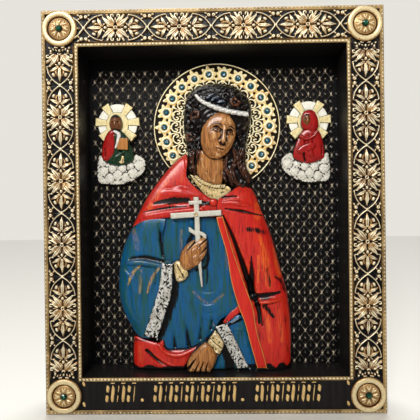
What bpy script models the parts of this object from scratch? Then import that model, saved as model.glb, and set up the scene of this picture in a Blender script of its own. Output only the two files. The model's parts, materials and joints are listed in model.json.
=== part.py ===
# A carved and painted wooden icon in a deep box frame.
# The frame is one ring of wood with leaf ornament on three sides, a plain inscription
# field on the fourth and a turned medallion at each corner. The carved board sits in a
# rebate at its back: a half-length figure with a hand cross, a gilt nimbus set with
# stones, and two small figures on clouds. The glass stones are pieces of their own.
# It stands on its lower edge, faces -Y, and its origin is under its middle.

import math

import bmesh
import bpy
import numpy as np

MM = 0.001

# Overall sizes in millimetres
WIDTH = 202.0
HEIGHT = 240.0
DEPTH = 38.0
BORDER = 21.6
RECESS = 26.0
MEDALLION_PROUD = 1.4
STONE_PROUD = 1.0
GAP = 0.3
REBATE = 6.0

# Planes along Y, from the front to the back
BACK = DEPTH / 2
FACE = -DEPTH / 2 + MEDALLION_PROUD + STONE_PROUD
GROUND = FACE + RECESS
BAND_DEPTH = 1.2

# The opening of the frame, as the front shows it
OPEN_X = WIDTH / 2 - BORDER
OPEN_LOW = BORDER
OPEN_HIGH = HEIGHT - BORDER

# The nimbus and its stones
NIMBUS = (2.5, 173.6)
NIMBUS_RADIUS = 40.3
NIMBUS_RISE = 3.0
STONE_RING = 33.4
STONES_ROUND = 22
STONES_SHOWN = 17
FIRST_STONE = -49.1
STONE_RADIUS = 1.5
STONE_HEIGHT = 1.3
SEAT_RADIUS = 3.9
SEAT_RISE = 1.0
PIT_DEPTH = 0.6

# The hand cross stands between these heights over the ground
CROSS_TOP = 18.0
CROSS_ROOT = 8.0

# Corner medallions
MEDALLION_RADIUS = 10.5
MEDALLION_INSET = 11.1
CORNER_STONE_RADIUS = 2.0
CORNER_STONE_HEIGHT = 1.6

# Grid pitch of the carving and how far each block is thinned out
BOARD_PITCH = 0.9
FRAME_PITCH = 0.55
BOARD_TRIANGLES = 4200
FRAME_TRIANGLES = 2750
FALL = 0.8

# The figure's silhouette below the head, which runs on under the frame's lower edge
BODY = [
    (-18, 156), (-26.8, 148.7), (-34.5, 139.7), (-42.2, 129.1), (-51.7, 110.2), (-59, 93.4),
    (-60.8, 70), (-57.9, 56.6), (-52.7, 46.5), (-51.6, 38), (-51.6, 10), (-20, 0), (30, 0),
    (47.6, 10), (48.1, 40), (46, 67.4), (42.3, 81.8), (33.6, 112.3), (26, 131), (20, 137), (2, 158),
]
BODY_RISE = 7.5
BODY_SHOULDER = 16.0


def curve_through(points, closed=True, steps=4):
    """Points along a smooth curve through the given ones. A point given twice is a corner."""
    knots = np.array(points, float)
    count = len(knots)
    spans = count if closed else count - 1
    made = []
    for i in range(spans):
        at = [(i + k) % count if closed else min(max(i + k, 0), count - 1) for k in (-1, 0, 1, 2)]
        before, start, end, after = knots[at]
        for t in np.arange(steps) / steps:
            made.append(0.5 * (
                2 * start + (end - before) * t
                + (2 * before - 5 * start + 4 * end - after) * t**2
                + (3 * start - before - 3 * end + after) * t**3
            ))
    if not closed:
        made.append(knots[-1])
    made = np.array(made)
    apart = np.linalg.norm(made - np.roll(made, 1, 0), axis=1) > 1e-6
    return made[apart]


def edge_distance(x, z, outline):
    """How far inside the outline each point lies. It is negative outside."""
    nearest = np.full(x.shape, np.inf)
    inside = np.zeros(x.shape, bool)
    for (ax, az), (bx, bz) in zip(outline, np.roll(outline, -1, 0)):
        dx, dz = bx - ax, bz - az
        t = np.clip(((x - ax) * dx + (z - az) * dz) / (dx * dx + dz * dz), 0, 1)
        nearest = np.minimum(nearest, np.hypot(x - ax - t * dx, z - az - t * dz))
        if az != bz:
            spans = (az > z) != (bz > z)
            inside ^= spans & (x < ax + (z - az) / dz * dx)
    return np.where(inside, nearest, -nearest)


def dome(depth, shoulder):
    """A quarter round: 0 at the edge, 1 from the shoulder's width inwards."""
    return np.sqrt(1 - (1 - np.clip(depth / shoulder, 0, 1)) ** 2)


def stroke(x, z, path, half_width, rise):
    """A round-backed ridge along a path. Widths and rises may be lists, from start to end."""
    line = curve_through(path, closed=False)
    along = np.linspace(0, 1, len(line))
    widths = np.interp(along, np.linspace(0, 1, np.size(half_width)), np.atleast_1d(half_width))
    rises = np.interp(along, np.linspace(0, 1, np.size(rise)), np.atleast_1d(rise))
    best = np.zeros(x.shape)
    for i in range(len(line) - 1):
        (ax, az), (bx, bz) = line[i], line[i + 1]
        dx, dz = bx - ax, bz - az
        t = np.clip(((x - ax) * dx + (z - az) * dz) / (dx * dx + dz * dz), 0, 1)
        width = widths[i] + (widths[i + 1] - widths[i]) * t
        away = np.hypot(x - ax - t * dx, z - az - t * dz) / width
        lift = (rises[i] + (rises[i + 1] - rises[i]) * t) * np.sqrt(np.clip(1 - away**2, 0, 1))
        best = np.maximum(best, lift)
    return best


def form(x, z, outline, low, rise, shoulder, swell=None):
    """One carved form. It starts at height low on its outline and rounds up by rise over the
    shoulder's width. With a swell outline it rounds from that one and is cut off square."""
    inside = edge_distance(x, z, curve_through(outline))
    depth = inside if swell is None else edge_distance(x, z, curve_through(swell))
    height = low + rise * dome(depth, shoulder)
    return np.where(inside > 0, height, height * np.clip(1 + inside / FALL, 0, 1))


def oval(centre, half_width, half_height, turn=0.0, count=16):
    """An ellipse's outline, turned by that many degrees."""
    around = np.arange(count) * 2 * math.pi / count
    u, v = half_width * np.cos(around), half_height * np.sin(around)
    c, s = math.cos(math.radians(turn)), math.sin(math.radians(turn))
    return np.stack([centre[0] + c * u - s * v, centre[1] + s * u + c * v], 1)


def tunic(x, z, body):
    """The blue tunic's front, with the pleats over the waist."""
    outline = [(-36, 118), (6, 120), (9, 100), (15, 62), (4.4, 53), (-1, 45.5), (-8, 39), (-16, 35.5),
               (-26, 34.5), (-34, 36), (-37, 60)]
    low = body + 3.5
    for path in (((-26, 54), (-25, 36)), ((-18, 56), (-17.5, 37)), ((-9.5, 56), (-10, 42))):
        low = low - stroke(x, z, path, [2.6, 1.4], [0.2, 2.2])
    for drop in (0.0, 8.0, 16.0):
        path = [(-22, 82 - drop), (-10, 66 - drop), (2, 66 - drop), (9, 78 - drop)]
        low = low + stroke(x, z, path, 2.6, [0.2, 1.1, 0.2])
    low = low + stroke(x, z, [(3, 116), (5, 98), (4, 80)], [2.2, 3.0], [1.4, 0.3])
    return form(x, z, outline, low, 1.0, 5)


SLEEVE = [(-51.9, 110), (-55.8, 102.5), (-59.3, 93), (-60.9, 80), (-60.6, 67), (-57.6, 56), (-52.5, 46.5),
          (-45.5, 41.5), (-45.5, 41.5), (-35.5, 42.5), (-35.5, 42.5), (-28.9, 61.8), (-26.3, 72), (-25.5, 88),
          (-30.5, 91), (-31.5, 105), (-30, 117), (-42, 117)]


def sleeve(x, z, body):
    """The wide sleeve on the left, its elbow creases and the brocade border at its opening."""
    swell = [(-46, 118), (-55.8, 103), (-59.3, 93), (-60.9, 80), (-60.6, 67), (-57.6, 56), (-52.5, 46.5),
             (-45, 38), (-25, 30), (-5, 60), (-10, 100), (-28, 117)]
    low = body + 4.0
    low = low - stroke(x, z, [(-53, 91), (-43, 92), (-31, 89)], [1.6, 2.2, 1.4], [1.0, 2.6, 1.0])
    low = low + stroke(x, z, [(-55, 87), (-43, 87.5), (-33, 86)], [2.0, 2.6], [0.4, 1.3])
    low = low - stroke(x, z, [(-33.5, 112), (-32.5, 104), (-31.5, 93)], 2.0, [0.6, 2.8, 1.6])
    low = low - stroke(x, z, [(-52, 80), (-53, 66), (-49, 54)], [1.6, 2.8, 1.4], [0.2, 1.0, 0.2])
    low = low - stroke(x, z, [(-40, 82), (-43, 68), (-45, 52)], [1.6, 2.8, 1.4], [0.2, 1.1, 0.2])
    cloth = form(x, z, SLEEVE, low, 3.5, 13, swell)
    border = [(-32.2, 88.6), (-32.2, 88.6), (-25.4, 87.8), (-25.4, 87.8), (-26.2, 72), (-28.8, 61.8),
              (-35.6, 42.5), (-35.6, 42.5), (-44, 43.6), (-44, 43.6), (-37.6, 61.8), (-33.6, 75.4)]
    return np.maximum(cloth, form(x, z, border, low + 1.2, 3.5, 13, swell))


def cape(x, z, body):
    """The left half of the cloak over the shoulder, its folds drawn together at the button."""
    outline = [(-18, 156), (-26.8, 148.7), (-34.5, 139.7), (-42.2, 129.1), (-47.3, 120.1), (-52, 110),
               (-52, 110), (-42.4, 113.6), (-27.2, 115.8), (-11.9, 116.6), (2, 116.4), (2, 116.4),
               (3.2, 125.5), (-1.1, 127.8), (-6.5, 131.2), (-12.5, 136.5), (-16.2, 141.8), (-15.5, 152)]
    low = body + 5.5
    for start, mid, depth in (((-44, 121), (-26, 123.5), 2.2), ((-37, 127), (-22, 128.2), 1.9),
                              ((-29, 134), (-15, 132), 1.3)):
        low = low - stroke(x, z, [start, mid, (-3, 126.2)], [0.8, 1.9, 0.9], [0.4, depth, 0.5])
    low = low + stroke(x, z, [(-16.5, 152), (-15, 141), (-8, 133), (-1, 127)], [1.6, 1.5, 1.3], [1.8, 1.2])
    button = form(x, z, oval((0, 125.3), 2.7, 2.7), 14.0, 2.4, 2.7)
    return np.maximum(form(x, z, outline, low, 1.6, 3.5), button)


def cloak(x, z, body):
    """The right half of the cloak over the far arm, with its turned-back edge."""
    outline = [(2.2, 127), (2.2, 127), (9.6, 131.4), (14.9, 135), (21, 137), (25, 134.4), (28.4, 125.3),
               (33.6, 112.3), (38.7, 99.3), (42.6, 81.8), (46.3, 67.4), (48.3, 52.1), (47.9, 36.9),
               (47, 22), (47, 18), (25.4, 18), (25.4, 23), (21.8, 37.1), (18.2, 51.3), (14.5, 61.2),
               (10.3, 76.2), (7.5, 94), (3.2, 109), (1.4, 116)]
    swell = [(-20, 140), (14.9, 137), (25, 134.4), (33.6, 112.3), (38.7, 99.3), (42.6, 81.8),
             (46.3, 67.4), (48.3, 52.1), (48, 20), (40, 0), (-20, 0)]
    low = body + 4.0
    low = low - stroke(x, z, [(8, 123), (18, 120.5), (30, 117)], [0.8, 1.8, 0.9], [0.8, 2.0, 0.5])
    low = low - stroke(x, z, [(6, 127), (14, 126.5), (24, 128)], [0.7, 1.3, 0.7], [0.6, 1.2, 0.4])
    low = low - stroke(x, z, [(9, 114), (14, 98), (19, 82), (24, 66), (28.5, 48)],
                       [1.2, 1.8, 2.4, 2.2, 0.9], [2.0, 3.2, 4.5, 3.6, 0.6])
    low = low - stroke(x, z, [(22.4, 96), (22.8, 82), (22.5, 68)], [0.9, 2.2, 2.8], [0.6, 2.6, 3.0])
    low = low - stroke(x, z, [(23, 65.5), (31, 66), (40, 67.5)], [2.2, 1.7, 0.9], [3.2, 2.6, 0.6])
    low = low - stroke(x, z, [(26, 63), (27.5, 56), (28.5, 50)], [1.8, 1.2, 0.6], [2.2, 1.4, 0.3])
    low = low - stroke(x, z, [(31, 63), (34, 58), (37, 53)], [1.2, 1.2, 0.6], [1.5, 1.2, 0.3])
    low = low + stroke(x, z, [(26, 62), (33, 62.5), (41, 63.5)], [1.4, 1.6, 1.0], [1.2, 1.4, 0.5])
    cloth = form(x, z, outline, low, 3.0, 10, swell)
    edging = [(1.4, 116.5), (5.5, 117), (10.5, 99.3), (14.8, 85.9), (18.4, 75.4), (23.3, 61.1), (25.7, 46.2),
              (29.6, 32), (31, 18), (25.4, 18), (25.4, 23), (21.8, 37.1), (18.2, 51.3), (14.5, 61.2),
              (10.3, 76.2), (7.5, 94), (3.2, 109)]
    return np.maximum(cloth, form(x, z, edging, body + 7.6, 1.2, 1.6))


def lower_folds(x, z, body):
    """The end of the cloak wrapped round the waist, and its lining where it shows again."""
    outline = [(-51.6, 41), (-44.4, 41), (-36, 39.3), (-32, 40.8), (-30.5, 36), (-25.6, 34.6), (-16.5, 35.4),
               (-9.7, 37.8), (-5, 41), (-12, 31), (-17.4, 24), (-22, 18), (-51.6, 18), (-51.8, 26)]
    low = body + 4.6
    low = low - stroke(x, z, [(-42, 34), (-36, 28.5), (-28, 24)], [1.5, 1.8, 0.8], [2.2, 1.8, 0.3])
    low = low + stroke(x, z, [(-35, 38), (-29, 32), (-20, 31.5), (-8, 38)], [1.3, 1.6, 1.2], [1.2, 1.4, 0.6])
    strip = [(15.5, 62.5), (13, 60.5), (8.6, 56.5), (4.8, 51.4), (7.6, 50.6), (11.5, 54), (16, 58)]
    return np.maximum(form(x, z, outline, low, 2.0, 4.5), form(x, z, strip, body + 5.0, 1.0, 1.6))


def far_arm(x, z, body):
    """The lowered arm: its sleeve, brocade border, gilt cuff and resting hand."""
    outline = [(4, 51), (8, 52), (15, 56), (22, 50), (26, 30), (24, 18), (-2, 18), (1, 30), (3, 40)]
    border = [(0.2, 49.2), (0.2, 49.2), (7.6, 51.4), (7.6, 51.4), (20.5, 23.5), (21.5, 18), (14.5, 18),
              (13.4, 24)]
    cuff = [(-5.6, 39), (-1, 46.4), (1.2, 46.6), (5.6, 39.4), (3.5, 33), (0.4, 31), (-2, 36)]
    hand = [(-6, 40.6), (-2, 38), (1.2, 32.6), (0.4, 28), (-1.6, 24), (-3.2, 21), (-15.8, 21), (-17.4, 25),
            (-16.8, 30), (-12, 36)]
    made = form(x, z, outline, body + 4.4, 1.6, 5)
    made = np.maximum(made, form(x, z, border, body + 7.6, 0.8, 1.5))
    made = np.maximum(made, form(x, z, cuff, body + 7.5, 3.2, 4))
    back = body + 8.6
    for foot, knuckle in (((-13.2, 20), (-10.8, 27)), ((-9.6, 20), (-8, 27.5)), ((-6, 20), (-5.2, 28))):
        back = back - stroke(x, z, [foot, knuckle], [0.9, 0.6], [2.6, 0.6])
    back = back - stroke(x, z, [(-16.8, 24.5), (-13, 29), (-11, 32)], [1.0, 0.5], [2.6, 0.3])
    return np.maximum(made, form(x, z, hand, back, 4.6, 4.5))


def near_hand(x, z, body):
    """The raised hand that holds the cross, with its gilt cuff."""
    cuff = [(-25, 88.5), (-21, 90), (-17.4, 86), (-15.4, 82), (-18, 77.6), (-22.8, 76.4), (-24.6, 81)]
    hand = [(-21.6, 90), (-20.6, 94.6), (-17.2, 99.8), (-11, 103.4), (-5.6, 104.6), (-4, 102), (-4.1, 98),
            (-4.8, 93), (-8, 88.3), (-12.4, 85.4), (-17, 83.6), (-20, 86)]
    made = form(x, z, cuff, body + 5.6, 3.4, 3.6)
    back = body + 7.6
    for start, end, depth in (((-16.6, 95.6), (-10.2, 102.8), 2.4), ((-9.4, 98.4), (-4, 103.2), 1.8),
                              ((-8.8, 93.2), (-3.8, 98.6), 1.8), ((-8, 89.4), (-4, 94), 1.8)):
        back = back - stroke(x, z, [start, end], [0.5, 0.9], [0.4, depth])
    return np.maximum(made, form(x, z, hand, back, 5.0, 5))


# The head, as a carver sets one out: an egg turned a little aside and leaning over
HEAD = (3.4, 167.2)
HEAD_LEAN = 14.0
HEAD_TURN = 15.0
FACE_HALF_WIDTH = 11.2
FACE_HALF_HEIGHT = 16.0
FACE_EDGE = 10.5
FACE_RISE = 7.5


def face_point(across, up):
    """A place on the face, from its half width and half height, on the board."""
    turned = math.sin(math.asin(max(-1, min(1, across))) + math.radians(HEAD_TURN))
    u, v = turned * FACE_HALF_WIDTH, up * FACE_HALF_HEIGHT
    lean = math.radians(-HEAD_LEAN)
    return (HEAD[0] + u * math.cos(lean) - v * math.sin(lean), HEAD[1] + u * math.sin(lean) + v * math.cos(lean))


def head(x, z):
    """Neck, hair, face on the rule of thirds, and the rolled band over the brow."""
    hair = [(-13.7, 195), (-4.6, 199.3), (5.2, 200), (14.8, 197.5), (22.4, 190), (24.6, 181.7), (22.6, 168),
            (22.6, 152), (22.4, 141), (17, 136), (6, 137), (-10, 139.5), (-14.6, 141), (-16.4, 156),
            (-18.2, 172), (-17.6, 186)]
    made = form(x, z, hair, 5.5, 3.0, 5)
    nape = [(-14, 146), (20, 146), (22, 128), (-12, 128)]
    made = np.maximum(made, form(x, z, nape, 6.5, 0.5, 2))
    crown = oval((4.2, 180), 19.5, 19.2)
    made = np.maximum(made, form(x, z, crown, 5.5, 10.0, 17))
    for path in ([(-9, 182), (-14, 172), (-11.5, 160), (-13.8, 150), (-11.5, 141)],
                 [(-13, 186), (-15.5, 174), (-15.5, 160), (-14.6, 148)],
                 [(15.5, 176), (18.5, 164), (14, 153), (12.2, 145), (9.5, 137.5)],
                 [(20.5, 178), (21, 166), (18, 154), (18.2, 145), (20, 138.5)],
                 [(12.5, 157), (10.5, 148), (14.5, 141), (13.6, 134.5)]):
        made = np.maximum(made, stroke(x, z, path, [2.6, 2.4, 2.2, 1.4], [13.5, 12.5, 12.0, 10.0]))
    neck = [(-10, 157), (6.5, 158), (6.2, 138), (1, 133.5), (-7, 136), (-11.5, 141)]
    made = np.maximum(made, form(x, z, neck, 8.2, 2.8, 6.5))
    yoke = [(-14, 142.5), (-6.8, 138.2), (0, 135.6), (8, 135.6), (10, 132.4), (2.6, 126.5), (-6, 131)]
    made = np.maximum(made, form(x, z, yoke, 10.2, 0.8, 3))
    rope = [(-12, 141.4), (-6.6, 137.4), (-0.3, 135.2), (8, 135)]
    made = np.maximum(made, stroke(x, z, rope, 1.3, 13.6))
    oval_face = oval(HEAD, FACE_HALF_WIDTH, FACE_HALF_HEIGHT, -HEAD_LEAN)
    lean = math.radians(HEAD_LEAN)
    up = ((x - HEAD[0]) * math.sin(lean) + (z - HEAD[1]) * math.cos(lean)) / FACE_HALF_HEIGHT
    face = FACE_EDGE + 0 * x
    face = face + stroke(x, z, [face_point(0, 0.30), face_point(0.10, -0.02), face_point(0.14, -0.28)],
                         [1.0, 1.2, 2.0], [0.6, 1.9, 3.0])
    for side in (-1, 1):
        socket = [face_point(side * 0.60, 0.13), face_point(side * 0.38, 0.17), face_point(side * 0.18, 0.14)]
        face = face - stroke(x, z, socket, [1.2, 2.2, 1.4], [0.6, 1.5, 0.9])
        lid = [face_point(side * 0.54, 0.12), face_point(side * 0.38, 0.13), face_point(side * 0.24, 0.11)]
        face = face + stroke(x, z, lid, [0.6, 1.1, 0.6], [0.4, 1.3, 0.4])
        brow = [face_point(side * 0.66, 0.26), face_point(side * 0.4, 0.36), face_point(side * 0.14, 0.28)]
        face = face + stroke(x, z, brow, [0.8, 1.2, 0.8], [0.3, 0.8, 0.5])
    face = face + stroke(x, z, [face_point(-0.24, -0.56), face_point(0.04, -0.53), face_point(0.3, -0.56)],
                         [0.6, 1.3, 0.6], [0.3, 1.2, 0.3])
    face = face - stroke(x, z, [face_point(-0.2, -0.58), face_point(0.04, -0.57), face_point(0.26, -0.58)],
                         0.5, [0.3, 0.8, 0.3])
    face = face + stroke(x, z, [face_point(0.0, -0.82), face_point(0.06, -0.84)], 2.4, 1.0)
    face = face - 1.2 * np.clip(-0.35 - up, 0, 1)
    made = np.maximum(made, form(x, z, oval_face, face, FACE_RISE, 10.5))
    fringe = [(-8, 186.5), (2, 186), (12, 183.5), (20, 181)]
    made = np.maximum(made, stroke(x, z, fringe, 3.4, [16.5, 17.5, 17.5, 15.0]))
    band = [(-10.4, 191.5), (-6.5, 187.2), (1.8, 183), (11.7, 180.2), (22.2, 179)]
    return np.maximum(made, stroke(x, z, band, [1.3, 1.8, 1.9, 1.8, 1.3], [15.5, 18.5, 19.4, 18.6, 14.5]))


def attendant(x, z, side):
    """A small half figure before a rayed glory, on a bank of cloud. The left one holds a book
    and wears a mantle, and the right one is veiled."""
    middle = (side * 60.8, 176.3)
    made = form(x, z, oval(middle, 12.6, 12.6), 2.8, 0.5, 1.0)
    made = np.maximum(made, form(x, z, oval(middle, 7.4, 7.8), 3.7, 0.6, 1.0))
    for angle in (5, 56, 124, 175, 222, 318):
        way = np.array([math.cos(math.radians(angle)), math.sin(math.radians(angle))])
        flare = np.array([-way[1], way[0]])
        ray = [middle + out * way + half * flare for out, half in ((5.5, -1.7), (14.2, -2.9), (14.2, 2.9), (5.5, 1.7))]
        made = np.maximum(made, form(x, z, np.repeat(ray, 2, 0), 3.4, 0.7, 1.2))
    cloud = [(12.4, 155), (12.8, 140), (5.4, 137.6), (-3, 137.6), (-10, 140), (-17, 146), (-17.4, 153),
             (-11.5, 156.5), (-8.5, 151.5), (0, 150), (7, 151.6), (9, 155.4)]
    cloud = [(middle[0] + side * u, v) for u, v in cloud]
    lumps = 3.6 + 0.7 * np.sin(x * 0.9) * np.cos(z * 1.1 + x * 0.4)
    made = np.maximum(made, form(x, z, cloud, lumps, 1.4, 2.5))
    robe = [(9.6, 154), (8.2, 165), (5, 171), (-1, 172.4), (-6, 168), (-9.8, 159), (-10.4, 153.2),
            (-6, 150.4), (0, 149.2), (7, 151.5)]
    robe = [(middle[0] + side * u, v) for u, v in robe]
    drape = 4.6 + 0 * x
    drape = drape - stroke(x, z, [(middle[0] + side * 4, 170), (middle[0] + side * 2, 160),
                                  (middle[0] + side * 4.5, 152)], 0.9, 1.2)
    drape = drape + stroke(x, z, [(middle[0] - side * 5, 166), (middle[0] - side * 4, 158),
                                  (middle[0] + side * 1, 154)], 1.3, 0.9)
    made = np.maximum(made, form(x, z, robe, drape, 2.6, 4.5))
    wrap = [(9.4, 155), (8.2, 165), (5, 171), (1.6, 171.6), (1.8, 162), (3, 155), (6.4, 152.6)]
    if side > 0:
        wrap = [(5.6, 172), (5.4, 177), (3.4, 181.6), (0, 183), (-3.8, 181.6), (-5.4, 177), (-5.2, 172),
                (-2, 169.6), (3, 169.4)]
    wrap = [(middle[0] + side * u, v) for u, v in wrap]
    made = np.maximum(made, form(x, z, wrap, drape + 1.0, 2.5, 3.8))
    face = oval((middle[0] + side * 0.4, 176), 4.2, 5.8) if side < 0 else oval((middle[0] - 0.4, 176.4), 3.0, 4.2)
    made = np.maximum(made, form(x, z, face, 5.0, 4.6, 3.6))
    if side < 0:
        book = [(-59.6, 166.4)] * 2 + [(-53.2, 166.2)] * 2 + [(-53.2, 159.2)] * 2 + [(-59.6, 159.4)] * 2
        made = np.maximum(made, form(x, z, book, 8.8, 0.2, 0.5))
    return made


def carving(x, z):
    """Height of the board's carving above its ground, in millimetres."""
    body = BODY_RISE * dome(edge_distance(x, z, curve_through(BODY)), BODY_SHOULDER)
    made = np.zeros(x.shape)
    for layer in (tunic, sleeve, cape, cloak, lower_folds, far_arm, near_hand):
        made = np.maximum(made, layer(x, z, body))
    made = np.maximum(made, head(x, z))
    for side in (-1, 1):
        made = np.maximum(made, attendant(x, z, side))
    open_ground = (np.abs(x) < OPEN_X - GAP) & (z > OPEN_LOW + 2 * GAP) & (z < OPEN_HIGH - GAP)
    return np.where(open_ground, made, 0.0)


# Leaf ornament: half of one oval, from the crossing of two ovals to the middle of one.
# Each stroke is its path in (along, across), its half widths and its rise.
OVAL_LENGTH = 37.8
HALF_OVAL = OVAL_LENGTH / 2
ORNAMENT = [
    ([(0.2, 0), (3.8, 4.6), (7.4, 6.5), (10.6, 6.9)], [0.75, 0.6, 0.75], 1.0),
    ([(2.8, 0), (7, 0), (11, 0)], [0.5, 1.5, 0.9], [1.0, 1.5, 1.3]),
    ([(5.2, 3.5), (7.6, 3.3)], [0.6, 0.9], 1.0),
    ([(8, 4.7), (11.2, 1.4)], [0.7, 1.0], 1.2),
    ([(12.6, 0), (13.2, 0)], 1.25, 1.5),
    ([(10.6, 5), (13.6, 3.7), (17.4, 1.5)], [0.7, 1.7, 0.8], [1.0, 1.5, 1.2]),
    ([(13.2, 6.8), (15.6, 4.4)], [0.6, 1.0], 1.0),
    ([(16.6, 3.6), (16.4, 6.2), (18.2, 6.8)], [0.6, 0.8, 0.9], 1.1),
    ([(18.3, 0), (18.9, 0)], 1.1, 1.3),
    ([(1.7, 6.3), (2.1, 6.3)], 1.2, 1.2),
]


def ornament(along, across):
    """Relief of the leaf ornament, repeated along a rail and the same on both sides of it."""
    from_crossing = np.abs((along + HALF_OVAL) % OVAL_LENGTH - HALF_OVAL)
    sideways = np.abs(across)
    made = np.zeros(along.shape)
    for path, half_width, rise in ORNAMENT:
        made = np.maximum(made, stroke(from_crossing, sideways, path, half_width, rise))
    return made


def frame_relief(x, z):
    """Height of the frame's front above the floor of its ornament band, in millimetres."""
    from_side = WIDTH / 2 - np.abs(x)
    from_end = HEIGHT / 2 - np.abs(z - HEIGHT / 2)
    into = np.minimum(from_side, from_end)
    made = BAND_DEPTH * np.sqrt(np.clip(1 - ((into - 1.0) / 1.1) ** 2, 0, 1))
    made = np.maximum(made, BAND_DEPTH * np.sqrt(np.clip(1 - ((into - BORDER + 1.0) / 1.1) ** 2, 0, 1)))
    stile = from_side < from_end
    middle = MEDALLION_INSET
    along = np.where(stile, z - HEIGHT / 2, x)
    across = np.where(stile, from_side, from_end) - middle
    leaves = np.where((np.abs(across) < 8.4) & (stile | (z > HEIGHT / 2)), ornament(along, across), 0.0)
    corner = np.hypot(from_side - middle, from_end - middle)
    return np.where(corner > MEDALLION_RADIUS, np.maximum(made, leaves), np.minimum(made, 0.4))


def grid_lines(edges, pitch):
    """Grid lines about a pitch apart that pass through every given edge."""
    lines = [edges[:1]]
    for low, high in zip(edges, edges[1:]):
        count = max(1, round((high - low) / pitch))
        lines.append(np.linspace(low, high, count + 1)[1:])
    return np.concatenate(lines)


def carved_block(name, x_lines, z_lines, front, back, keep=None):
    """A block whose front is a grid moved to the carved surface and whose back is flat."""
    columns, rows = len(x_lines) - 1, len(z_lines) - 1
    bpy.ops.mesh.primitive_grid_add(x_subdivisions=columns, y_subdivisions=rows, size=2)
    block = bpy.context.active_object
    block.name = name
    mesh = block.data
    flat = np.empty(len(mesh.vertices) * 3, np.float32)
    mesh.vertices.foreach_get("co", flat)
    flat = flat.reshape(-1, 3)
    column = np.rint((flat[:, 0] + 1) / 2 * columns).astype(int)
    row = np.rint((flat[:, 1] + 1) / 2 * rows).astype(int)
    x, z = x_lines[column], z_lines[row]
    placed = np.stack([x, front(x, z), z], 1) * MM
    mesh.vertices.foreach_set("co", placed.astype(np.float32).ravel())
    work = bmesh.new()
    work.from_mesh(mesh)
    if keep is not None:
        gone = [f for f in work.faces if not keep(f.calc_center_median() / MM)]
        bmesh.ops.delete(work, geom=gone, context="FACES")
    front_faces = work.faces[:]
    copied = bmesh.ops.extrude_face_region(work, geom=front_faces)
    for vertex in copied["geom"]:
        if isinstance(vertex, bmesh.types.BMVert):
            vertex.co.y = back * MM
    bmesh.ops.recalc_face_normals(work, faces=work.faces)
    work.to_mesh(mesh)
    work.free()
    mesh.update()
    return block


def thin_out(block, triangles):
    """Collapses a dense block to about that many triangles, flat parts first."""
    work = bmesh.new()
    work.from_mesh(block.data)
    bmesh.ops.triangulate(work, faces=work.faces)
    bmesh.ops.dissolve_degenerate(work, dist=0.04 * MM, edges=work.edges)
    bmesh.ops.triangulate(work, faces=work.faces)
    work.to_mesh(block.data)
    work.free()
    block.data.calc_loop_triangles()
    thinning = block.modifiers.new("thin out", "DECIMATE")
    thinning.ratio = triangles / len(block.data.loop_triangles)
    apply_modifiers(block)


def apply_modifiers(block):
    """Makes the evaluated shape the object's own mesh."""
    graph = bpy.context.evaluated_depsgraph_get()
    made = bpy.data.meshes.new_from_object(block.evaluated_get(graph))
    block.modifiers.clear()
    block.data = made


def turned(name, profile, centre, sides, start=0.0):
    """A turned shape. Its profile is (radius, height) and its axis points to the front."""
    mesh = bpy.data.meshes.new(name)
    c, s = math.cos(start), math.sin(start)
    points = [(radius * c * MM, radius * s * MM, height * MM) for radius, height in profile]
    mesh.from_pydata(points, [(i, i + 1) for i in range(len(points) - 1)], [])
    shape = bpy.data.objects.new(name, mesh)
    bpy.context.collection.objects.link(shape)
    screw = shape.modifiers.new("turn", "SCREW")
    screw.steps = sides
    screw.render_steps = sides
    screw.use_merge_vertices = True
    screw.merge_threshold = 0.00001
    shape.rotation_euler = (math.pi / 2, 0, 0)
    shape.location = (centre[0] * MM, centre[2] * MM, centre[1] * MM)
    bpy.context.view_layer.update()
    graph = bpy.context.evaluated_depsgraph_get()
    made = bpy.data.meshes.new_from_object(shape.evaluated_get(graph))
    made.transform(shape.matrix_world)
    shape.modifiers.clear()
    shape.data = made
    shape.rotation_euler = (0, 0, 0)
    shape.location = (0, 0, 0)
    return shape


def carved_cross():
    """The hand cross: an upright that runs on below the fist, and three bars across it.
    Each bar stands a little prouder than the last, as if let in from the front."""
    top, fist, foot = (-10.6, 128.8), (-9.5, 95), (-7.6, 74)
    lean = math.atan2(foot[0] - top[0], top[1] - foot[1])
    pieces = [cross_bar(top, fist, 1.6, 1.6, CROSS_TOP), cross_bar((-9.6, 97), foot, 1.5, 0.5, CROSS_TOP - 0.3)]
    bars = [((-10.75, 118.2), 15.5, 1.75, 0), ((-11.05, 125.4), 4.1, 1.2, 0), ((-9.95, 107.4), 6.2, 1.5, -20)]
    for number, (centre, reach, half_width, slope) in enumerate(bars, 1):
        angle = lean + math.radians(slope)
        way = reach * np.array([math.cos(angle), math.sin(angle)])
        pieces.append(cross_bar(centre - way, centre + way, half_width, half_width, CROSS_TOP + 0.15 * number))
    return pieces


def cross_bar(start, end, half_start, half_end, top):
    """A flat bar of the cross between two points on the board, sunk into the carving behind."""
    start, end = np.array(start, float), np.array(end, float)
    way = (end - start) / np.linalg.norm(end - start)
    side = np.array([-way[1], way[0]])
    corners = {(-1, -1): start - half_start * side, (1, -1): end - half_end * side,
               (1, 1): end + half_end * side, (-1, 1): start + half_start * side}
    bpy.ops.mesh.primitive_cube_add(size=2)
    bar = bpy.context.active_object
    for vertex in bar.data.vertices:
        x, z = corners[round(vertex.co.x), round(vertex.co.z)]
        height = top if vertex.co.y < 0 else CROSS_ROOT
        vertex.co = (x * MM, (GROUND - height) * MM, z * MM)
    work = bmesh.new()
    work.from_mesh(bar.data)
    bmesh.ops.recalc_face_normals(work, faces=work.faces)
    work.to_mesh(bar.data)
    work.free()
    return bar


def combine(block, others, operation):
    """Joins the others to the block or cuts them from it, one after another."""
    for other in others:
        step = block.modifiers.new(operation.lower(), "BOOLEAN")
        step.operation = operation
        step.object = other
        step.solver = "EXACT"
        apply_modifiers(block)
        bpy.data.objects.remove(other)


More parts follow.
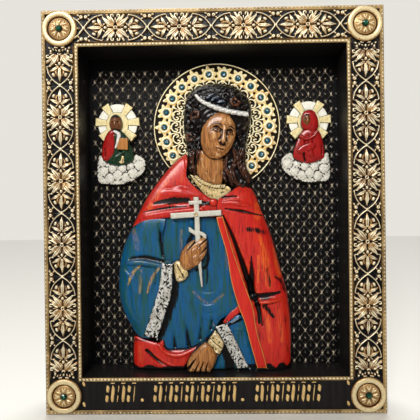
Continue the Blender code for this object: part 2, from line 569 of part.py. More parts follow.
def stone_angle(number):
    return math.radians(FIRST_STONE + 360 / STONES_ROUND * number)


def stone_places():
    """Centres of the nimbus stones on the board."""
    return [(NIMBUS[0] + STONE_RING * math.cos(stone_angle(k)), NIMBUS[1] + STONE_RING * math.sin(stone_angle(k)))
            for k in range(STONES_SHOWN)]


def corner_places():
    """Centres of the corner medallions."""
    inset = MEDALLION_INSET
    return [(side * (WIDTH / 2 - inset), z) for side in (-1, 1) for z in (inset, HEIGHT - inset)]


def board():
    """The carved board behind the frame."""
    reach = REBATE - GAP
    inner = OPEN_X - GAP
    x_edges = [-OPEN_X - reach, -inner - GAP, -inner, inner, inner + GAP, OPEN_X + reach]
    z_edges = [OPEN_LOW - reach, OPEN_LOW + GAP, OPEN_LOW + 2 * GAP + 0.05, OPEN_HIGH - GAP, OPEN_HIGH + reach]
    made = carved_block("carved_board", grid_lines(x_edges, BOARD_PITCH), grid_lines(z_edges, BOARD_PITCH),
                        lambda x, z: GROUND - carving(x, z), BACK)
    rim = NIMBUS_RADIUS - 1.3
    nimbus = turned("nimbus", [(0, NIMBUS_RISE), (rim, NIMBUS_RISE), (rim + 0.6, NIMBUS_RISE + 0.6),
                               (NIMBUS_RADIUS, NIMBUS_RISE), (NIMBUS_RADIUS, -1.0), (0, -1.0)],
                    (*NIMBUS, GROUND), 48)
    seats, pits = [], []
    for place in stone_places():
        top = NIMBUS_RISE + SEAT_RISE
        seats.append(turned("seat", [(0, top), (SEAT_RADIUS - 0.5, top), (SEAT_RADIUS, NIMBUS_RISE - 0.5),
                                     (0, NIMBUS_RISE - 0.5)], (*place, GROUND), 8))
        hole = STONE_RADIUS + GAP
        pits.append(turned("pit", [(0, top + 2), (hole, top + 2), (hole, top - PIT_DEPTH), (0, top - PIT_DEPTH)],
                           (*place, GROUND), 8, 0.3))
    combine(nimbus, seats, "UNION")
    bars = carved_cross()
    combine(bars[0], bars[1:], "UNION")
    combine(made, [nimbus, bars[0]], "UNION")
    thin_out(made, BOARD_TRIANGLES)
    combine(made, pits, "DIFFERENCE")
    return made


def frame():
    """The frame: its ornament, the rebate for the board, the medallions and their pits."""
    x_edges = [-WIDTH / 2, -OPEN_X, OPEN_X, WIDTH / 2]
    z_edges = [0, OPEN_LOW, OPEN_HIGH, HEIGHT]
    floor = FACE + BAND_DEPTH
    made = carved_block(
        "frame", grid_lines(x_edges, FRAME_PITCH), grid_lines(z_edges, FRAME_PITCH),
        lambda x, z: floor - frame_relief(x, z), BACK,
        lambda at: abs(at.x) > OPEN_X or not OPEN_LOW < at.z < OPEN_HIGH)
    thin_out(made, FRAME_TRIANGLES)
    across, deep, tall = 2 * (OPEN_X + REBATE), 2 * (BACK - GROUND + GAP), OPEN_HIGH - OPEN_LOW + 2 * REBATE
    bpy.ops.mesh.primitive_cube_add(size=1, location=(0, BACK * MM, HEIGHT / 2 * MM),
                                    scale=(across * MM, deep * MM, tall * MM))
    combine(made, [bpy.context.active_object], "DIFFERENCE")
    discs, pits = [], []
    top = BAND_DEPTH + MEDALLION_PROUD
    for place in corner_places():
        discs.append(turned("disc", [(0, top - 0.3), (6.4, top - 0.3), (7, top - 0.9), (7.6, top - 0.1),
                                     (9.4, top), (MEDALLION_RADIUS, top - 1.2), (MEDALLION_RADIUS, -1.0),
                                     (0, -1.0)], (*place, floor), 24))
        hole = CORNER_STONE_RADIUS + GAP
        bottom = top - 0.3 - PIT_DEPTH
        pits.append(turned("pit", [(0, top + 2), (hole, top + 2), (hole, bottom), (0, bottom)],
                           (*place, floor), 10, 0.1))
    combine(made, discs, "UNION")
    combine(made, pits, "DIFFERENCE")
    return made


def stone(name, place, seat, radius, height):
    """A round faceted stone: a low cylinder with a crown and a flat table."""
    profile = [(0, height), (radius * 0.6, height), (radius, height * 0.3), (radius, 0), (0, 0)]
    return turned(name, profile, (*place, seat), 7)


def stones():
    """The blue stones of the nimbus and the green ones of the corners, a gap off their pits."""
    made = []
    seat = GROUND - (NIMBUS_RISE + SEAT_RISE - PIT_DEPTH + GAP)
    for number, place in enumerate(stone_places(), 1):
        made.append((stone(f"nimbus_stone_{number:02d}", place, seat, STONE_RADIUS, STONE_HEIGHT), "blue"))
    seat = -DEPTH / 2 + CORNER_STONE_HEIGHT
    for number, place in enumerate(corner_places(), 1):
        made.append((stone(f"corner_stone_{number}", place, seat, CORNER_STONE_RADIUS, CORNER_STONE_HEIGHT),
                     "green"))
    return made


def material(name, colour, roughness, metallic):
    """A plain shader with the finish's colour."""
    made = bpy.data.materials.new(name)
    made.use_nodes = True
    shader = made.node_tree.nodes["Principled BSDF"]
    shader.inputs["Base Color"].default_value = (*colour, 1)
    shader.inputs["Roughness"].default_value = roughness
    shader.inputs["Metallic"].default_value = metallic
    return made


def main():
    for old in list(bpy.data.objects):
        bpy.data.objects.remove(old)
    gilt = material("bronzed black wood", (0.20, 0.13, 0.07), 0.45, 0.3)
    painted = material("painted wood", (0.25, 0.08, 0.06), 0.35, 0.0)
    glass = {"blue": material("blue glass", (0.05, 0.22, 0.32), 0.08, 0.0),
             "green": material("green glass", (0.01, 0.18, 0.10), 0.08, 0.0)}
    pieces = [(board(), painted), (frame(), gilt)]
    pieces += [(made, glass[colour]) for made, colour in stones()]
    icon = bpy.data.collections.new("icon panel")
    bpy.context.scene.collection.children.link(icon)
    for piece, finish in pieces:
        piece.data.materials.clear()
        piece.data.materials.append(finish)
        for holder in list(piece.users_collection):
            holder.objects.unlink(piece)
        icon.objects.link(piece)


main()
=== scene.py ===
import json
import math
import random

import bmesh
import bpy
import numpy as np
from mathutils import Matrix, Vector

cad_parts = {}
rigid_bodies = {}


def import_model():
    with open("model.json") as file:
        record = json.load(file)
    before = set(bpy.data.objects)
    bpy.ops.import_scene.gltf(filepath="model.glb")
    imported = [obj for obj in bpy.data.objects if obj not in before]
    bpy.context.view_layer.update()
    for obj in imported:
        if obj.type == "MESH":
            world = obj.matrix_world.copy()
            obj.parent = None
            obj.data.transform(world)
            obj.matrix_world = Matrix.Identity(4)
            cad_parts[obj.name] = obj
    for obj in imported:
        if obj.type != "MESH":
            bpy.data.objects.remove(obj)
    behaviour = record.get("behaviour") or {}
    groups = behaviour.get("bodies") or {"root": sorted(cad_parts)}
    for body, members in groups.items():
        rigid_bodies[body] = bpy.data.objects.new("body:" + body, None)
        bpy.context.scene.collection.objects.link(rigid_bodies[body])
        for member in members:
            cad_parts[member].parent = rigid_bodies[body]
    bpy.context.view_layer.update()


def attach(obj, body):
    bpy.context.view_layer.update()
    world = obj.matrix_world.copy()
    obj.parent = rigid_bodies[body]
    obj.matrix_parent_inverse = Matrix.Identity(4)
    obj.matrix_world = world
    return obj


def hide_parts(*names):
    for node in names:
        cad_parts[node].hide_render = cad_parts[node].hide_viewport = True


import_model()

# Carved and painted wooden icon in a deep box frame. Lengths below are in millimetres:
# x to the right and z up from the middle of the underside, heights out from the board's ground.
mm = 0.001
planes = {"face": -16.6, "band": -15.4, "ground": 9.4, "back": 19.0}
sizes = {"width": 202.0, "height": 240.0, "border": 21.6, "rebate": 6.0, "gap": 0.3}
openX = sizes["width"] / 2 - sizes["border"]
openLow, openHigh = sizes["border"], sizes["height"] - sizes["border"]


def linear(hexColour):
    parts = [int(hexColour[i:i + 2], 16) / 255 for i in (1, 3, 5)]
    return (*[p / 12.92 if p < 0.04045 else ((p + 0.055) / 1.055) ** 2.4 for p in parts], 1.0)


# adds one node: its settings, then its inputs by name or number, linked when given a socket or a node
def add(tree, kind, settings=None, **inputs):
    node = tree.nodes.new(kind)
    for key, value in (settings or {}).items():
        setattr(node, key, value)
    for key, value in inputs.items():
        socket = node.inputs[int(key[2:]) if key[:2] == "in" and key[2:].isdigit() else key.replace("_", " ")]
        if isinstance(value, bpy.types.Node):
            value = next(output for output in value.outputs if output.enabled)
        if isinstance(value, bpy.types.NodeSocket):
            tree.links.new(value, socket)
        else:
            socket.default_value = value
    return node


# shapes drawn on the board
def curveThrough(points, closed=True, steps=5):
    knots = np.array(points, float)
    count = len(knots)
    made = []
    for i in range(count if closed else count - 1):
        at = [(i + k) % count if closed else min(max(i + k, 0), count - 1) for k in (-1, 0, 1, 2)]
        before, start, end, after = knots[at]
        for t in np.arange(steps) / steps:
            made.append(0.5 * (2 * start + (end - before) * t + (2 * before - 5 * start + 4 * end - after)
                * t**2 + (3 * start - before - 3 * end + after) * t**3))
    if not closed:
        made.append(knots[-1])
    made = np.array(made)
    return made[np.linalg.norm(made - np.roll(made, 1, 0), axis=1) > 1e-6]


# nearest place on a chain of points: distance, share of the way along, side, place, and inside or not
def toChain(x, z, chain, closed):
    starts, ends = (chain, np.roll(chain, -1, 0)) if closed else (chain[:-1], chain[1:])
    run = np.concatenate([[0.0], np.cumsum(np.hypot(*(ends - starts).T))])
    best = np.full(x.shape, np.inf)
    along, side, nearX, nearZ = (np.zeros(x.shape) for _ in range(4))
    inside = np.zeros(x.shape, bool)
    for i, ((ax, az), (bx, bz)) in enumerate(zip(starts, ends)):
        dx, dz = bx - ax, bz - az
        t = np.clip(((x - ax) * dx + (z - az) * dz) / (dx * dx + dz * dz), 0, 1)
        px, pz = ax + t * dx, az + t * dz
        away = np.hypot(x - px, z - pz)
        closer = away < best
        best = np.where(closer, away, best)
        along = np.where(closer, run[i] + t * (run[i + 1] - run[i]), along)
        side = np.where(closer, np.sign((x - ax) * dz - (z - az) * dx), side)
        nearX, nearZ = np.where(closer, px, nearX), np.where(closer, pz, nearZ)
        if closed and az != bz:
            inside ^= ((az > z) != (bz > z)) & (x < ax + (z - az) / dz * dx)
    return best, along / run[-1], side, nearX, nearZ, inside


def outlineDepth(x, z, outline):
    away, _, _, _, _, inside = toChain(x, z, curveThrough(outline), True)
    return np.where(inside, away, -away)


def dome(depth, shoulder):
    return np.sqrt(1 - (1 - np.clip(depth / shoulder, 0, 1)) ** 2)


def ease(value, low, high):
    t = np.clip((value - low) / (high - low), 0, 1)
    return t * t * (3 - 2 * t)


# a round-backed ridge along a path: widths and rises may change on the way, a vein splits its back,
# a twist (pitch, depth) turns it into a rope, and a soft one fades out to its sides like a brush stroke
def ridge(x, z, path, halfWidth, rise, vein=0.0, twist=None, soft=False):
    line = curveThrough(path, False)
    widths, rises = np.atleast_1d(halfWidth), np.atleast_1d(rise)
    reach = widths.max()
    low, high = line.min(0) - reach, line.max(0) + reach
    near = (x > low[0]) & (x < high[0]) & (z > low[1]) & (z < high[1])
    made = np.zeros(x.shape)
    if not near.any():
        return made
    away, along, side, _, _, _ = toChain(x[near], z[near], line, False)
    across = away / np.interp(along, np.linspace(0, 1, len(widths)), widths)
    back = np.clip(1 - across**2, 0, 1) ** (1.0 if soft else 0.5)
    lift = np.interp(along, np.linspace(0, 1, len(rises)), rises) * back
    if vein:
        lift *= 1 - vein * np.exp(-((across / 0.3) ** 2))
    if twist:
        length = np.hypot(*np.diff(line, axis=0).T).sum()
        turn = along * length / twist[0] + 0.45 * side * across
        lift *= 1 - twist[1] * (1 - np.abs(np.sin(math.pi * turn)))
    made[near] = lift
    return made


def ridges(x, z, listed):
    total = np.zeros(x.shape)
    for path, halfWidth, rise in listed:
        total = total + ridge(x, z, path, halfWidth, rise)
    return total


def highest(x, z, listed, **more):
    top = np.zeros(x.shape)
    for path, halfWidth, rise in listed:
        top = np.maximum(top, ridge(x, z, path, halfWidth, rise, **more))
    return top


def brushed(x, z, listed):
    return highest(x, z, listed, soft=True)


def oval(centre, halfWidth, halfHeight, turn=0.0, count=16):
    around = np.arange(count) * 2 * math.pi / count
    u, v = halfWidth * np.cos(around), halfHeight * np.sin(around)
    c, s = math.cos(math.radians(turn)), math.sin(math.radians(turn))
    return np.stack([centre[0] + c * u - s * v, centre[1] + s * u + c * v], 1)


def corners(*points):
    return [p for p in points for _ in (0, 1)]


def blurred(values, mask, reach):
    def boxed(a):
        for axis in (0, 1):
            for _ in (0, 1):
                grown = np.pad(a, [(reach + 1, reach) if k == axis else (0, 0) for k in (0, 1)], mode="edge")
                total = np.cumsum(grown, axis)
                upper = np.take(total, range(2 * reach + 1, total.shape[axis]), axis)
                lower = np.take(total, range(0, total.shape[axis] - 2 * reach - 1), axis)
                a = (upper - lower) / (2 * reach + 1)
        return a
    return boxed(values * mask) / np.maximum(boxed(mask.astype(float)), 1e-6)


# meshes and objects
def linked(made):
    bpy.context.scene.collection.objects.link(made)
    return made


def newPiece(name, mesh, materials, slotName, *stands):
    piece = linked(bpy.data.objects.new(name, mesh))
    mesh.materials.clear()
    for finish in materials:
        mesh.materials.append(finish)
    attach(piece, "root")
    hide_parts(*stands)
    return piece


def onBoard(name, mesh, finish):
    return newPiece(name, mesh, [finishes[finish]], "painted_carving", "carved_board")


def onFrame(name, mesh, *labels):
    return newPiece(name, mesh, [finishes[label] for label in labels], "frame_wood", "frame")


def meshOf(name, points, faces, smoothFaces=None, attributes=None):
    mesh = bpy.data.meshes.new(name)
    mesh.from_pydata(np.asarray(points, float).tolist(), [], faces)
    if smoothFaces is not None:
        mesh.polygons.foreach_set("use_smooth", np.asarray(smoothFaces, bool))
    for label, values in (attributes or {}).items():
        mesh.attributes.new(label, "FLOAT", "POINT").data.foreach_set("value", np.asarray(values, np.float32))
    mesh.update()
    return mesh


# The carver: a fine grid cut to an outline, raised to its surface, with straight walls down to its root.
# surface(x, z, depth) gives the height, or the height, the painted-in dark (dark paint and painted shade) and
# the lighter tone (rubbed-through paint, and painted highlight on the face).
def carvedMesh(name, outline, surface, pitch=0.4, root=0.3, soft=1.4, plane=None, steps=5):
    plane = planes["ground"] if plane is None else plane
    chain = curveThrough(outline, steps=steps)
    low, high = chain.min(0) - 1.6 * pitch, chain.max(0) + 1.6 * pitch
    x, z = np.meshgrid(np.arange(low[0], high[0], pitch), np.arange(low[1], high[1], pitch))
    away, _, _, nearX, nearZ, inside = toChain(x, z, chain, True)
    depth = np.where(inside, away, -away)
    onEdge = away < 0.5 * pitch
    x, z = np.where(onEdge, nearX, x), np.where(onEdge, nearZ, z)
    kept = inside | onEdge
    made = surface(x, z, np.maximum(depth, 0))
    height, dark, wornAndHighlight = made if isinstance(made, tuple) else (made, 0 * x, 0 * x)
    relief = height - blurred(height, kept, max(1, round(soft / pitch)))
    index = np.full(x.shape, -1)
    index[kept] = np.arange(kept.sum())
    cells = np.stack([index[:-1, :-1], index[:-1, 1:], index[1:, 1:], index[1:, :-1]], -1).reshape(-1, 4)
    mean = (depth[:-1, :-1] + depth[:-1, 1:] + depth[1:, 1:] + depth[1:, :-1]).reshape(-1) / 4
    out = (cells < 0).sum(1)
    quads = cells[(out == 0) & (mean > -0.25 * pitch)]
    odd = cells[(out == 1) & (mean > -0.35 * pitch)]
    triangles = odd[odd >= 0].reshape(-1, 3)
    edges = np.concatenate([quads[:, [i, (i + 1) % 4]] for i in range(4)] + [triangles[:, [i, (i + 1) % 3]]
        for i in range(3)])
    count = int(kept.sum())
    keys, backs = edges[:, 0] * count + edges[:, 1], edges[:, 1] * count + edges[:, 0]
    rim = edges[~np.isin(keys, backs)]
    used = np.unique(np.concatenate([quads.ravel(), triangles.ravel()]))
    onRim = np.unique(rim)
    renumber = np.full(count, -1)
    renumber[used] = np.arange(len(used))
    below = np.full(count, -1)
    below[onRim] = len(used) + np.arange(len(onRim))
    top = np.stack([x[kept], plane - height[kept], z[kept]], 1)
    foot = top[onRim].copy()
    foot[:, 1] = plane - root
    walls = np.stack([renumber[rim[:, 1]], renumber[rim[:, 0]], below[rim[:, 0]], below[rim[:, 1]]], 1)
    following = {}
    for a, b in rim:
        following.setdefault(int(a), []).append(int(b))
    floors = []
    while following:
        start = at = next(iter(following))
        loop = []
        while at in following:
            loop.append(int(below[at]))
            onward = following[at].pop()
            if not following[at]:
                del following[at]
            at = onward
            if at == start:
                break
        if len(loop) > 2:
            floors.append(loop[::-1])
    faces = renumber[quads].tolist() + renumber[triangles].tolist() + walls.tolist() + floors
    smooth = [True] * (len(quads) + len(triangles)) + [False] * (len(walls) + len(floors))
    rootValue = np.full(len(onRim), -1.0)
    attributes = {"relief": np.concatenate([relief[kept][used], rootValue]),
        "rim": np.concatenate([np.maximum(depth, 0)[kept][used], 0 * rootValue]),
        "lift": np.concatenate([height[kept][used], 0 * rootValue + root]),
        "dark": np.concatenate([dark[kept][used], -rootValue]),
        "wornAndHighlight": np.concatenate([wornAndHighlight[kept][used], 0 * rootValue])}
    return meshOf(name, np.concatenate([top[used], foot]) * mm, faces, smooth, attributes)


# a rope or roll laid along a path, as a piece of its own
def rollMesh(name, path, halfWidths, low, rise, pitch, twist, root, plane=None):
    line = curveThrough(path, closed=False)
    along = np.linspace(0, 1, len(line))
    half = np.interp(along, np.linspace(0, 1, len(halfWidths)), halfWidths)
    way = np.gradient(line, axis=0)
    side = np.stack([-way[:, 1], way[:, 0]], 1) / np.linalg.norm(way, axis=1)[:, None] * half[:, None]
    outline = np.concatenate([line - side, (line + side)[::-1]])[::2]
    return carvedMesh(name, outline, lambda x, z, d: low + ridge(x, z, path, halfWidths, rise, twist=twist),
        pitch, root, soft=0.8, plane=plane)


def coordinates(mesh):
    flat = np.empty(len(mesh.vertices) * 3)
    mesh.vertices.foreach_get("co", flat)
    return flat.reshape(-1, 3)


def joined(name, meshes):
    points, faces, smooth, attributes, at = [], [], [], {}, 0
    for mesh in meshes:
        points.append(coordinates(mesh))
        faces += [[v + at for v in polygon.vertices] for polygon in mesh.polygons]
        smooth += [polygon.use_smooth for polygon in mesh.polygons]
        for item in mesh.attributes:
            if item.data_type == "FLOAT" and item.domain == "POINT":
                values = np.empty(len(mesh.vertices), np.float32)
                item.data.foreach_get("value", values)
                attributes.setdefault(item.name, []).append(values)
        at += len(mesh.vertices)
    return meshOf(name, np.concatenate(points), faces, smooth, {k: np.concatenate(v) for k,
        v in attributes.items()})


def fixNormals(mesh):
    work = bmesh.new()
    work.from_mesh(mesh)
    bmesh.ops.recalc_face_normals(work, faces=work.faces)
    work.to_mesh(mesh)
    work.free()
    return mesh


# gives each point of a mesh its height out from a plane, which the dry brush reads
def liftFrom(mesh, plane):
    lifts = (plane - coordinates(mesh)[:, 1] / mm).astype(np.float32)
    mesh.attributes.new("lift", "FLOAT", "POINT").data.foreach_set("value", lifts)
    return mesh


# a turned shape from (radius, height) pairs, its axis out of the front
def turnedMesh(name, profile, centre, plane, sides):
    rings = [np.array([[r * math.cos(a), -h, r * math.sin(a)] for a in np.arange(sides) * 2
        * math.pi / sides]) if r > 0 else np.array([[0.0, -h, 0.0]]) for r, h in profile]
    counts = [len(ring) for ring in rings]
    starts = np.concatenate([[0], np.cumsum(counts)])
    faces = []
    for k in range(len(rings) - 1):
        for i in range(sides):
            j = (i + 1) % sides
            a, b = (starts[k] + (i, j)) if counts[k] > 1 else (starts[k],) * 2
            c, d = (starts[k + 1] + (i, j)) if counts[k + 1] > 1 else (starts[k + 1],) * 2
            face = [int(v) for v in dict.fromkeys((a, c, d, b))]
            if len(face) > 2:
                faces.append(face)
    points = (np.concatenate(rings) + (centre[0], plane, centre[1])) * mm
    levels = [h for _, h in profile]
    sunk = [min(h - max(levels[max(k - 1, 0):k + 2]), 0) for k, h in enumerate(levels)]
    lift, relief = np.repeat(np.array(levels, float), counts), np.repeat(np.array(sunk, float), counts)
    return meshOf(name, points, faces, [True] * len(faces), {"relief": relief, "lift": lift, "dark": 0 * lift,
        "wornAndHighlight": 0 * lift, "rim": 0 * lift + 2})


# what repeats: three node trees
def newTree(name, inputs):
    tree = bpy.data.node_groups.new(name, "GeometryNodeTree")
    tree.interface.new_socket(name="Geometry", in_out="OUTPUT", socket_type="NodeSocketGeometry")
    for label, kind in inputs:
        tree.interface.new_socket(name=label, in_out="INPUT", socket_type="NodeSocket" + kind)
    return tree, tree.nodes.new("NodeGroupInput"), tree.nodes.new("NodeGroupOutput")


def endTree(tree, given, result, finish):
    real = add(tree, "GeometryNodeRealizeInstances", Geometry=result)
    painted = add(tree, "GeometryNodeSetMaterial", Geometry=real.outputs[0], Material=finish)
    tree.links.new(painted.outputs[0], given.inputs[0])


def motifTree():  # a motif on every point, turned by the point's "turn" and sized by its "size"
    tree, start, end = newTree("motifs on points", [("Geometry", "Geometry"), ("Motif", "Object"),
        ("Finish", "Material"), ("Jitter", "Float"), ("Seed", "Int")])
    given = start.outputs
    turn = add(tree, "GeometryNodeInputNamedAttribute", {"data_type": "FLOAT"}, Name="turn")
    size = add(tree, "GeometryNodeInputNamedAttribute", {"data_type": "FLOAT"}, Name="size")
    spare = add(tree, "ShaderNodeMath", {"operation": "SUBTRACT"}, in0=1.0, in1=given["Jitter"])
    chance = add(tree, "FunctionNodeRandomValue", {"data_type": "FLOAT"}, Seed=given["Seed"])
    tree.links.new(spare.outputs[0], chance.inputs[2])
    chance.inputs[3].default_value = 1.0
    scaled = add(tree, "ShaderNodeMath", {"operation": "MULTIPLY"}, in0=size.outputs[0],
        in1=chance.outputs[1])
    euler = add(tree, "ShaderNodeCombineXYZ", Y=turn.outputs[0])
    rotation = add(tree, "FunctionNodeEulerToRotation", Euler=euler.outputs[0])
    motif = add(tree, "GeometryNodeObjectInfo", Object=given["Motif"])
    placed = add(tree, "GeometryNodeInstanceOnPoints", Points=given["Geometry"],
        Instance=motif.outputs["Geometry"], Rotation=rotation.outputs[0], Scale=scaled.outputs[0])
    endTree(tree, end, placed.outputs[0], given["Finish"])
    return tree


def beadTree():  # round beads at an even spacing along the edges of a path
    tree, start, end = newTree("beads along a path", [("Geometry", "Geometry"), ("Finish", "Material"),
        ("Spacing", "Float"), ("Radius", "Float"), ("Stretch", "Float")])
    given = start.outputs
    curve = add(tree, "GeometryNodeMeshToCurve", Mesh=given["Geometry"])
    even = add(tree, "GeometryNodeResampleCurve", {"mode": "LENGTH"}, Curve=curve.outputs[0],
        Length=given["Spacing"])
    ball = add(tree, "GeometryNodeMeshUVSphere", Segments=8, Rings=5, Radius=given["Radius"])
    soft = add(tree, "GeometryNodeSetShadeSmooth", Geometry=ball.outputs[0])
    tangent = add(tree, "GeometryNodeInputTangent")
    facing = add(tree, "FunctionNodeAlignRotationToVector", {"axis": "X"}, Vector=tangent.outputs[0])
    long = add(tree, "ShaderNodeCombineXYZ", X=given["Stretch"], Y=1.0, Z=1.0)
    placed = add(tree, "GeometryNodeInstanceOnPoints", Points=even.outputs[0], Instance=soft.outputs[0],
        Rotation=facing.outputs[0], Scale=long.outputs[0])
    endTree(tree, end, placed.outputs[0], given["Finish"])
    return tree


def latticeTree():  # a motif on two staggered grids, as in woven diaper work
    tree, start, end = newTree("staggered lattice", [("Motif", "Object"), ("Finish", "Material"),
        ("Columns", "Int"), ("Rows", "Int"), ("Column Pitch", "Float"), ("Row Pitch", "Float"),
        ("Centre", "Vector")])
    given = start.outputs
    motif = add(tree, "GeometryNodeObjectInfo", Object=given["Motif"])
    both = tree.nodes.new("GeometryNodeJoinGeometry")
    # the second grid has one column more and one row less, and so sits between the first's
    for more in (0, 1):
        counts = [add(tree, "ShaderNodeMath", {"operation": "ADD"}, in0=given[k], in1=float(change)) for k,
            change in (("Columns", more), ("Rows", -more))]
        spans = [add(tree, "ShaderNodeMath", {"operation": "SUBTRACT"}, in0=c.outputs[0], in1=1.0)
            for c in counts]
        lengths = [add(tree, "ShaderNodeMath", {"operation": "MULTIPLY"}, in0=s.outputs[0], in1=given[k])
            for s, k in zip(spans, ("Column Pitch", "Row Pitch"))]
        grid = add(tree, "GeometryNodeMeshGrid", Size_X=lengths[0].outputs[0], Size_Y=lengths[1].outputs[0],
            Vertices_X=counts[0].outputs[0], Vertices_Y=counts[1].outputs[0])
        upright = add(tree, "GeometryNodeTransform", Geometry=grid.outputs[0], Translation=given["Centre"],
            Rotation=(math.pi / 2, 0, 0))
        placed = add(tree, "GeometryNodeInstanceOnPoints", Points=upright.outputs[0],
            Instance=motif.outputs["Geometry"])
        tree.links.new(placed.outputs[0], both.inputs[0])
    endTree(tree, end, both.outputs[0], given["Finish"])
    return tree


trees = {"motifs": motifTree(), "beads": beadTree(), "lattice": latticeTree()}


# runs a tree on a mesh and returns the plain mesh that it makes
def grown(name, kind, base, **values):
    tree = trees[kind]
    holder = linked(bpy.data.objects.new(name + " holder", base))
    modifier = holder.modifiers.new("grow", "NODES")
    modifier.node_group = tree
    for socket in tree.interface.items_tree:
        key = socket.name.replace(" ", "_")
        if socket.in_out == "INPUT" and key in values:
            modifier[socket.identifier] = values[key]
    bpy.context.view_layer.update()
    graph = bpy.context.evaluated_depsgraph_get()
    made = bpy.data.meshes.new_from_object(holder.evaluated_get(graph))
    made.name = name
    bpy.data.objects.remove(holder)
    return made


def pointsMesh(name, places, turns=0.0, scales=1.0):
    count = len(places)
    return meshOf(name, np.array(places) * mm, [], None, {"turn": np.zeros(count) + turns,
        "size": np.zeros(count) + scales})


def pathMesh(name, points, closed=False):
    mesh = bpy.data.meshes.new(name)
    count = len(points)
    edges = [(i, (i + 1) % count) for i in range(count if closed else count - 1)]
    mesh.from_pydata((np.array(points, float) * mm).tolist(), edges, [])
    return mesh


def motifObject(name, mesh):
    return linked(bpy.data.objects.new(name, mesh))


# finishes: settings that several nodes share
smooth = {"interpolation_type": "SMOOTHSTEP"}
colourMix = {"data_type": "RGBA"}
times, plus, larger = ({"operation": name} for name in ("MULTIPLY", "ADD", "MAXIMUM"))


def newMaterial(name):
    material = bpy.data.materials.new(name)
    material.use_nodes = True
    tree = material.node_tree
    return material, tree, tree.nodes["Principled BSDF"], add(tree, "ShaderNodeTexCoord").outputs["Object"]


# Paint brushed over carved wood: two tones in upright streaks, the top of a fold rubbed through to a lighter
# one (on the face and the dark head cloth a painted highlight), fine upright scratches, black wash left in
# the hollows, black along the rims, and black painted shade and dark painted lines where the "dark" attribute
# lays them in.
# Lengths are millimetres: (across, along the grain) for a pattern, (from, to) for a range of relief.
finishDefaults = {
    "paint": "#7a2020", "second": "#7a2020", "wash": "#060404", "rubbed": "#b08050",
    "streak": (1.6, 22.0), "streakMix": 0.6, "scratch": (0.7, 9.0), "scratchMix": 0.25, "ragged": (0.8, 4.5),
    "hollow": (0.1, 0.7), "rim": 0.9, "rimMix": 0.8, "crest": (0.25, 0.9), "crestMix": 0.6, "speckle": 0.0,
    "roughness": 0.35, "gloss": 0.5, "glossRoughness": 0.12, "metallic": 0.0, "bump": 0.4, "edgeLine": None,
}


